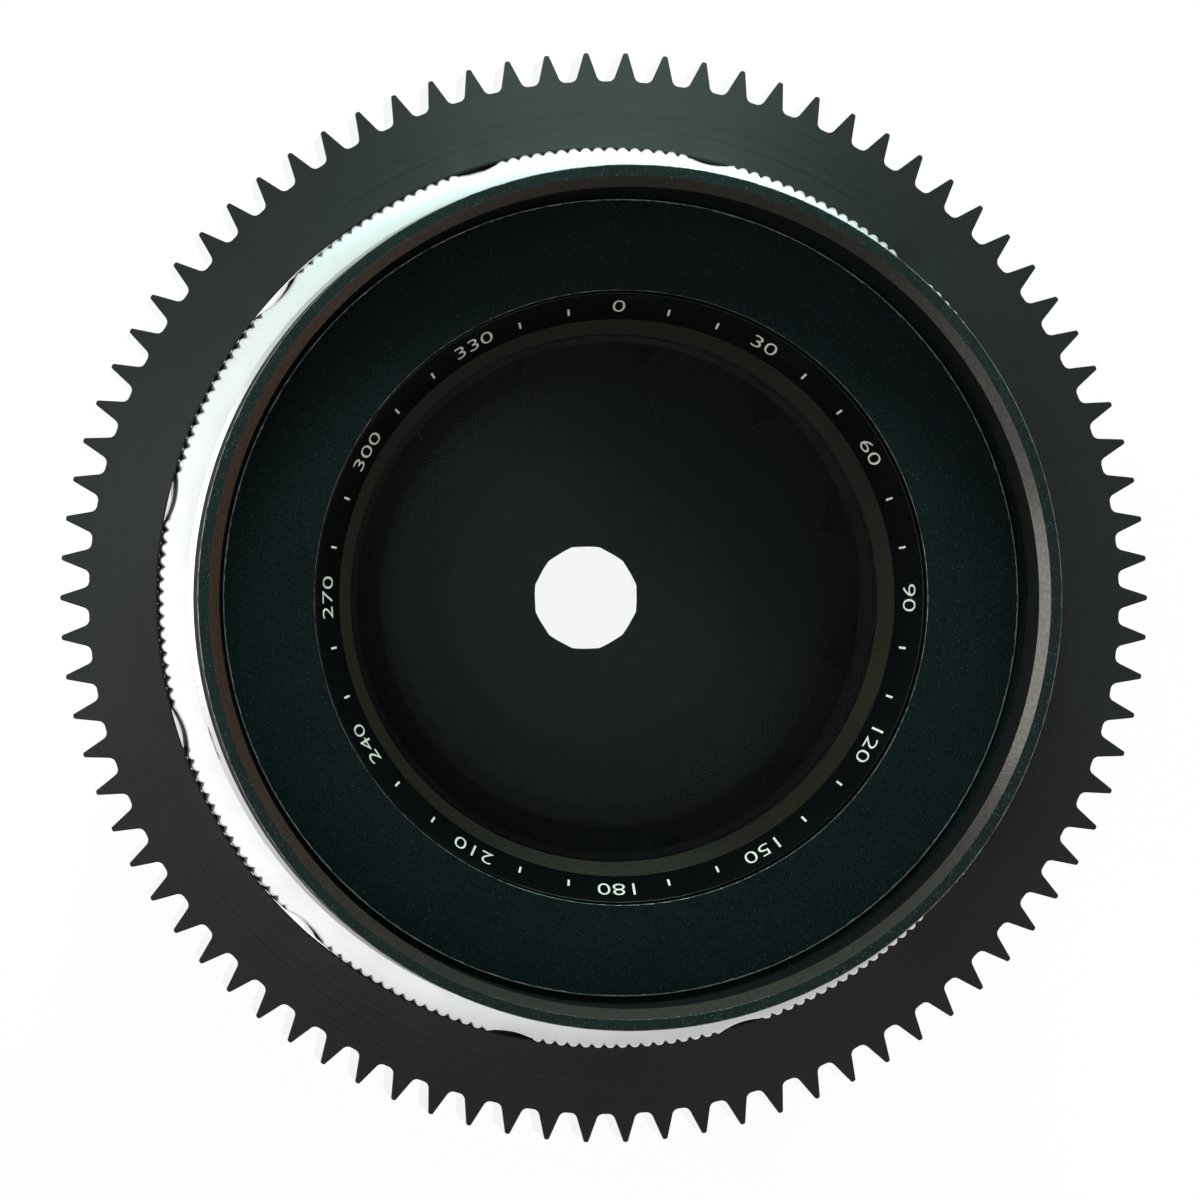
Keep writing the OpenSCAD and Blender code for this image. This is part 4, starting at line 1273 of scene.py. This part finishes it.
    def distance_scale(self) -> None:
        """Distances in metres, as they come to the index when the ring turns."""
        _, low, _ = span("focus_ring")
        band = Band(self.spread, "focus", "satin_silver", self.scale_r, low + self.scale_len / 2)
        shown = [d for d in self.distances_m if self.turn_at(d) < self.throw]
        marks = [(f"{d:g}", self.index_turn - self.turn_at(d)) for d in shown]
        marks.append(("∞", self.index_turn))
        band.figures("distance_figures", marks, self.figure_size, FIGURE_BLACK, self.figure_up)
        band.ticks("distance_ticks", [turn for _, turn in marks], self.tick_size, FIGURE_BLACK, self.tick_up)

    def tooth_line(self) -> list[tuple[Point, Point]]:
        """One tooth's outline, as x along its middle and y across it, with rounded root and tip."""
        pitch_r = self.gear_teeth * self.gear_module / 2
        tip, root = pitch_r + self.gear_module, pitch_r - self.gear_root_depth * self.gear_module
        half = math.pi / self.gear_teeth
        foot, crest = self.tooth_foot_half, self.tooth_tip_half
        foot_arc, tip_arc = self.tooth_foot_round, self.tooth_tip_round
        line = [
            (root * math.cos(half), -root * math.sin(half)), (root, -foot), (tip, -crest),
            (tip, crest), (root, foot), (root * math.cos(half), root * math.sin(half)),
        ]
        return rounded(line, (0.0, foot_arc, tip_arc, tip_arc, foot_arc, 0.0), steps=5, closed=False)

    def gear(self) -> None:
        """The toothed ring, from one sector with one tooth."""
        _, low, top = span("follow_focus_gear")
        outline = self.tooth_line()
        n = len(outline)
        half = math.pi / self.gear_teeth
        e, flank_slope = self.tooth_edge, 0.2
        face_r = (self.gear_teeth / 2 - self.gear_face_depth) * self.gear_module
        wide = [Vector((x, y, 0)) for (x, y), _ in outline]
        inset = [Vector((x - e * nx, y - e * ny, 0)) for (x, y), (nx, ny) in outline]
        inset[0], inset[-1] = spun(inset[0].length, 0, -half), spun(inset[-1].length, 0, half)

        def arc(r: float) -> list[Vector]:
            return [spun(r, 0, math.atan2(v.y, v.x)) for v in wide]

        bore, mouth = arc(self.gear_bore_r), arc(self.gear_bore_r + self.bore_edge)
        rows = (
            (arc(face_r), low), (inset, low), (wide, low + e), (wide, top - e), (inset, top),
            (arc(face_r), top), (mouth, top), (bore, top - self.bore_edge), (bore, low + self.bore_edge),
            (mouth, low),
        )
        points = [v + Vector((0, 0, z)) for row, z in rows for v in row]
        sector = new_mesh("gear_sector", points, quads(len(rows), n, tube=False))
        turns = [360 * k / self.gear_teeth for k in range(self.gear_teeth)]
        mesh = tidy_solid(self.spread.make("follow_gear_cut", sector, turns, GEAR_BLACK, self.weld))
        seat("follow_gear_cut", mesh, "focus", GEAR_BLACK, ["follow_focus_gear"])

        def is_flank(side: Side) -> bool:
            return abs(side.normal.z) < flank_slope and side.center.xy.length > face_r * MM

        paint(mesh, FLANK_BLACK, is_flank)


@dataclass
class IrisGroup:
    """The aperture ring, its figures and the iris behind the glass.

    Attributes are millimetres, apart from angles. Each stop stands with its angle.
    """

    spread: Spread
    ring_r: float = 27.2
    ring_edge: float = 0.25
    band_len: float = 2.3
    figure_size: float = 1.5
    figure_up: float = -0.3
    tick_size: Point = (0.16, 0.5)
    tick_up: float = 0.8
    index_size: Point = (0.5, 1.2)
    index_down: float = 1.0
    index_turn: float = -90.0
    stops: tuple[tuple[str, float], ...] = (
        ("4", 66.44), ("5.6", 43.1), ("8", 25.44), ("11", 14.08), ("16", 4.52),
    )
    blades: int = 12

    def build(self) -> None:
        """Dresses the nodes and adds the figures."""
        dress(SATIN_SILVER, "aperture_ring")
        dress(SCREW_STEEL, "iris_drive_screw")
        dress(DARK_BRONZE, "iris_cam_ring")
        dress(INNER_BLACK, "iris_base_plate", "iris_spacer")
        dress(BLADE_STEEL, *(f"iris_blade_{k}" for k in range(1, self.blades + 1)))
        self.figures()

    def figures(self) -> None:
        """The stops, where each comes to the index as the ring turns; a bare tick is the smallest."""
        _, low, _ = span("aperture_ring")
        middle = low + self.ring_edge + self.band_len / 2
        band = Band(self.spread, "aperture", "satin_silver", self.ring_r, middle)
        marks = [(stop, self.index_turn + turn) for stop, turn in self.stops]
        turns = [self.index_turn, *(turn for _, turn in marks)]
        band.figures("aperture_figures", marks, self.figure_size, FIGURE_BLACK, self.figure_up)
        band.ticks("aperture_ticks", turns, self.tick_size, FIGURE_BLACK, self.tick_up)
        cover_r, _, cover_top = span("front_cover")
        cover = Band(self.spread, "optics", "anodised_black", cover_r, cover_top - self.index_down)
        cover.ticks("aperture_index", [self.index_turn], self.index_size, FIGURE_RED)


@dataclass
class BarrelGroup:
    """The fixed barrel, its depth scale and the camera thread.

    Attributes are millimetres, apart from angles and stops.
    """

    spread: Spread
    threads: ThreadTurns
    depth_r: float = 28.0
    barrel_foot_r: float = 25.62
    barrel_wear: float = 0.07
    thread_pitch: float = 1.0
    figure_size: float = 1.8
    figure_up: float = -1.4
    tick_size: Point = (0.16, 2.4)
    tick_up: float = 2.6
    index_size: Point = (0.3, 5.6)
    index_up: float = 1.0
    index_turn: float = -90.0
    stops: tuple[int, ...] = (4, 8, 11, 16, 22)
    figured: tuple[int, ...] = (8, 16, 22)
    throat_r: float = 18.5
    thread_root_r: float = 20.5
    thread_relief: float = 0.4
    flange_t: float = 2.48
    spigot_r: float = 24.5
    guide_bore_r: float = 23.0
    screw_r: float = 0.8
    screw_height: float = 4.25
    screw_turns: tuple[float, ...] = (30, 150, 270)
    blur_mm: float = 0.05
    focus_ratio: float = 270.0 / 15.0

    def build(self) -> None:
        """Makes and seats the pieces."""
        barrel_r, barrel_low, _ = span("fixed_barrel")
        _, scale_low, _ = span("depth_scale_ring")
        black = Finish(
            "barrel_black", srgb(26, 27, 28), srgb(19, 20, 21), roughness=0.38, uneven=0.12, specular=0.4,
            coat=0.1, per_mm=9.0, bare=srgb(170, 150, 104),
            worn=(
                (barrel_r, scale_low, self.barrel_wear), (self.barrel_foot_r, barrel_low, self.barrel_wear),
            ),
        )
        dress(black, "fixed_barrel")
        dress(SATIN_SILVER, "depth_scale_ring")
        dress(SCREW_STEEL, "mount_screws", "scale_ring_screws", "guide_key_screws")
        dress(BRASS, "guide_keys", "helicoid_keeper")
        self.depth_scale()
        self.mount()

    def depth_scale(self) -> None:
        """Pairs of stops either side of a red index, as far apart as their depth of focus."""
        _, low, top = span("depth_scale_ring")
        band = Band(self.spread, "barrel", "satin_silver", self.depth_r, (low + top) / 2)
        pairs = [
            (stop, self.index_turn + side * stop * self.blur_mm * self.focus_ratio)
            for stop in self.stops for side in (-1, 1)
        ]
        marks = [(str(stop), turn) for stop, turn in pairs if stop in self.figured]
        band.figures("depth_figures", marks, self.figure_size, FIGURE_BLACK, self.figure_up)
        band.ticks("depth_ticks", [turn for _, turn in pairs], self.tick_size, FIGURE_BLACK, self.tick_up)
        band.ticks("depth_index", [self.index_turn], self.index_size, FIGURE_RED, self.index_up)

    def mount(self) -> None:
        """The chromed mount, whose tail is cut back to the root of its thread."""
        flange_r, low, top = span("camera_mount")
        lead, crease = self.thread_pitch / 2, 40.0
        section = [
            (self.throat_r, low), (self.thread_root_r - lead, low), (self.thread_root_r, low + lead),
            (self.thread_root_r, 0), (flange_r, 0), (flange_r, self.flange_t), (self.spigot_r, self.flange_t),
            (self.spigot_r, top), (self.guide_bore_r, top), (self.guide_bore_r, self.flange_t),
            (self.throat_r, self.flange_t),
        ]
        blank = turned_ring("camera_mount_turned", section, radius=0.12)
        wall = (self.guide_bore_r, self.spigot_r)
        mesh = tidy_solid(drilled(blank, self.screw_r, wall, self.screw_height, self.screw_turns), crease)
        seat("camera_mount_turned", mesh, "barrel", CHROME, ["camera_mount"])
        reach = (low + lead, -self.thread_relief - lead)
        turns = self.threads.make("mount_thread_turns", self.thread_root_r, reach, self.thread_pitch, CHROME)
        seat("mount_thread_turns", turns, "barrel", CHROME)


@dataclass(frozen=True)
class Lamp:
    """A soft rectangular lamp that faces the lens, hidden from the camera and through glass.

    Attributes:
        name: its name.
        place: where it hangs, in metres.
        size: width and height, in metres.
        power: watts.
        colour: colour of its light.
    """

    name: str
    place: tuple[float, float, float]
    size: Point
    power: float
    colour: Colour

    def hang(self) -> None:
        """Puts the lamp in the scene."""
        data = bpy.data.lights.new(self.name, "AREA")
        data.shape = "RECTANGLE"
        data.size, data.size_y = self.size
        data.energy = self.power
        data.color = self.colour
        lamp = link(self.name, data)
        middle = (CAD_BOX[0] + CAD_BOX[1]) / 2
        lamp.visible_transmission = lamp.visible_camera = False
        lamp.rotation_mode = "QUATERNION"
        lamp.location = self.place
        lamp.rotation_quaternion = (middle - Vector(self.place)).to_track_quat("-Z", "Y")


@dataclass
class Studio:
    """The floor, the light and the camera.

    Attributes:
        axis_tilt: angle of the camera off the optical axis, towards -X.
        camera_gap: distance from the gear's front face to the camera, in millimetres.
        focal_px: focal length in pixels of the picture.
        picture_px: width of the picture.
        gear_centre_px: where the centre of the gear's front face stands in the picture.
        sensor_mm: width of the sensor.
        far_m: how far the camera sees, in metres.
        white_share: how much of the floor is plain white where it is looked at.
        floor_reach_m: half the floor's width, in metres.
        floor_gap_m: how far it lies below the lens, in metres.
        lamps: the lamps.
    """

    axis_tilt: float = 4.12
    camera_gap: float = 609.0
    focal_px: float = 9427.0
    picture_px: int = 1200
    gear_centre_px: Point = (605.9, 597.7)
    sensor_mm: float = 36.0
    far_m: float = 20.0
    white_share: float = 0.94
    floor_reach_m: float = 0.9
    floor_gap_m: float = 0.00005
    lamps: tuple[Lamp, ...] = (
        Lamp("window_left", (-0.8, 0.1, 0.42), (0.6, 0.9), 4.0, (0.96, 0.98, 1.0)),
        Lamp("panel_above", (-0.42, -0.16, 1.0), (0.8, 0.8), 2.0, (1.0, 1.0, 1.0)),
        Lamp("strip_top", (0.02, 0.22, 0.28), (0.15, 0.06), 1.1, (0.66, 1.0, 0.93)),
        Lamp("fill_low_right", (0.5, -0.65, 0.5), (0.5, 0.5), 1.4, (1.0, 0.88, 0.8)),
    )

    def build(self) -> None:
        """Makes the camera, the lamps, the world and the floor."""
        bpy.context.scene.view_settings.view_transform = "Standard"
        self.camera()
        for lamp in self.lamps:
            lamp.hang()
        self.world()
        self.floor()

    def camera(self) -> None:
        """The camera, aimed so that the gear's face lands where the picture has it."""
        _, _, face = span("follow_focus_gear")
        tilt = math.radians(self.axis_tilt)
        place = Vector((-math.sin(tilt), 0, math.cos(tilt))) * self.camera_gap + Vector((0, 0, face))
        per_px = self.camera_gap / self.focal_px
        off_x = (self.gear_centre_px[0] - self.picture_px / 2) * per_px
        off_y = (self.picture_px / 2 - self.gear_centre_px[1]) * per_px
        aim = Vector((-off_x / math.cos(tilt), -off_y, face))
        data = bpy.data.cameras.new("picture_camera")
        data.sensor_width = self.sensor_mm
        data.lens = self.focal_px / self.picture_px * self.sensor_mm
        data.clip_end = self.far_m
        camera = link("picture_camera", data)
        back = (place - aim).normalized()
        right = Vector((0, 1, 0)).cross(back).normalized()
        turn = Matrix((right, back.cross(right), back)).transposed().to_4x4()
        camera.matrix_world = Matrix.Translation(place * MM) @ turn
        bpy.context.scene.camera = camera

    def keep_off(self, *names: str) -> None:
        """Keeps the bare lamps out of some pieces' reflections, which then show only the room."""
        listed = bpy.data.collections.new("clear_of_lamps")
        for name in names:
            listed.objects.link(bpy.data.objects[name])
        for entry in listed.collection_objects:
            entry.light_linking.link_state = "EXCLUDE"
        for lamp in self.lamps:
            bpy.data.objects[lamp.name].light_linking.receiver_collection = listed

    @staticmethod
    def seen(board: Board, *outputs: str) -> Wire:
        """A mask of the rays of some kinds, such as those that come from the camera."""
        path = board.node("ShaderNodeLightPath")
        mask = board.out(path, outputs[0])
        for name in outputs[1:]:
            mask = mask | board.out(path, name)
        return mask

    def world(self) -> None:
        """White where it is looked at, dim overhead in reflections, and an even soft light."""
        window, wall, glow = (0.9, 0.93, 0.95), (0.2, 0.2, 0.19), (0.8, 0.51, 0.31)
        far_wall, far_share = (0.42, 0.55, 0.53), 0.7
        pale_ceiling, dark_ceiling = (0.6, 0.63, 0.63), (0.08, 0.09, 0.09)
        soft, white = (0.42, 0.43, 0.44), (1.0, 1.0, 1.0)
        world = bpy.data.worlds.new("studio")
        world.use_nodes = True
        world.node_tree.nodes.clear()
        board = Board(world.node_tree)
        across, up, high = board.split(board.out(board.node("ShaderNodeTexCoord"), "Generated"))
        sides = board.blend(board.fade(across, -0.95, -0.5), window, wall)
        sides = board.blend(board.fade(across, 0.45, 0.9), sides, glow)
        sides = board.blend(board.fade(up, 0.3, 1.0) * far_share, sides, far_wall)
        overhead = board.blend(board.fade(across + up, 0.0, 0.7), pale_ceiling, dark_ceiling)
        room = board.blend(board.fade(high, 0.3, 0.8), sides, overhead)
        light = board.blend(self.seen(board, "Is Glossy Ray", "Is Transmission Ray"), soft, room)
        mixed = board.first("ShaderNodeMixShader", sockets={
            0: self.seen(board, "Is Camera Ray"),
            1: board.first("ShaderNodeBackground", sockets={"Color": light, "Strength": 1.0}),
            2: board.first("ShaderNodeBackground", sockets={"Color": white, "Strength": 1.0}),
        })
        board.node("ShaderNodeOutputWorld", sockets={"Surface": mixed})
        bpy.context.scene.world = world

    def floor(self) -> None:
        """A pale floor under the mount, which keeps a soft shadow."""
        pale, white = (0.9, 0.9, 0.9), (1.0, 1.0, 1.0)
        reach, low = self.floor_reach_m, CAD_BOX[0].z - self.floor_gap_m
        corners = [(-reach, -reach, low), (reach, -reach, low), (reach, reach, low), (-reach, reach, low)]
        mesh = bpy.data.meshes.new("floor")
        mesh.from_pydata(corners, [], [(0, 1, 2, 3)])
        material = bpy.data.materials.new("pale_floor")
        material.use_nodes = True
        material.node_tree.nodes.clear()
        board = Board(material.node_tree)
        looked_at = self.seen(board, "Is Camera Ray", "Is Glossy Ray", "Is Transmission Ray")
        mixed = board.first("ShaderNodeMixShader", sockets={
            0: looked_at * self.white_share,
            1: board.first("ShaderNodeBsdfDiffuse", sockets={"Color": pale}),
            2: board.first("ShaderNodeEmission", sockets={"Color": white, "Strength": 1.0}),
        })
        board.node("ShaderNodeOutputMaterial", sockets={"Surface": mixed})
        mesh.materials.append(material)
        floor = link("floor", mesh)


def main() -> None:
    """Builds the sub-assemblies in order."""
    logging.basicConfig(level=logging.INFO, format="%(name)s: %(message)s")
    spread, threads = Spread(), ThreadTurns()
    studio = Studio()
    studio.build()
    for group in (
        FrontGroup(spread, threads), FocusGroup(spread), IrisGroup(spread), BarrelGroup(spread, threads),
    ):
        group.build()
    studio.keep_off("front_glass", "doublet_glass", "rear_glass")


if __name__ == "__main__":
    main()
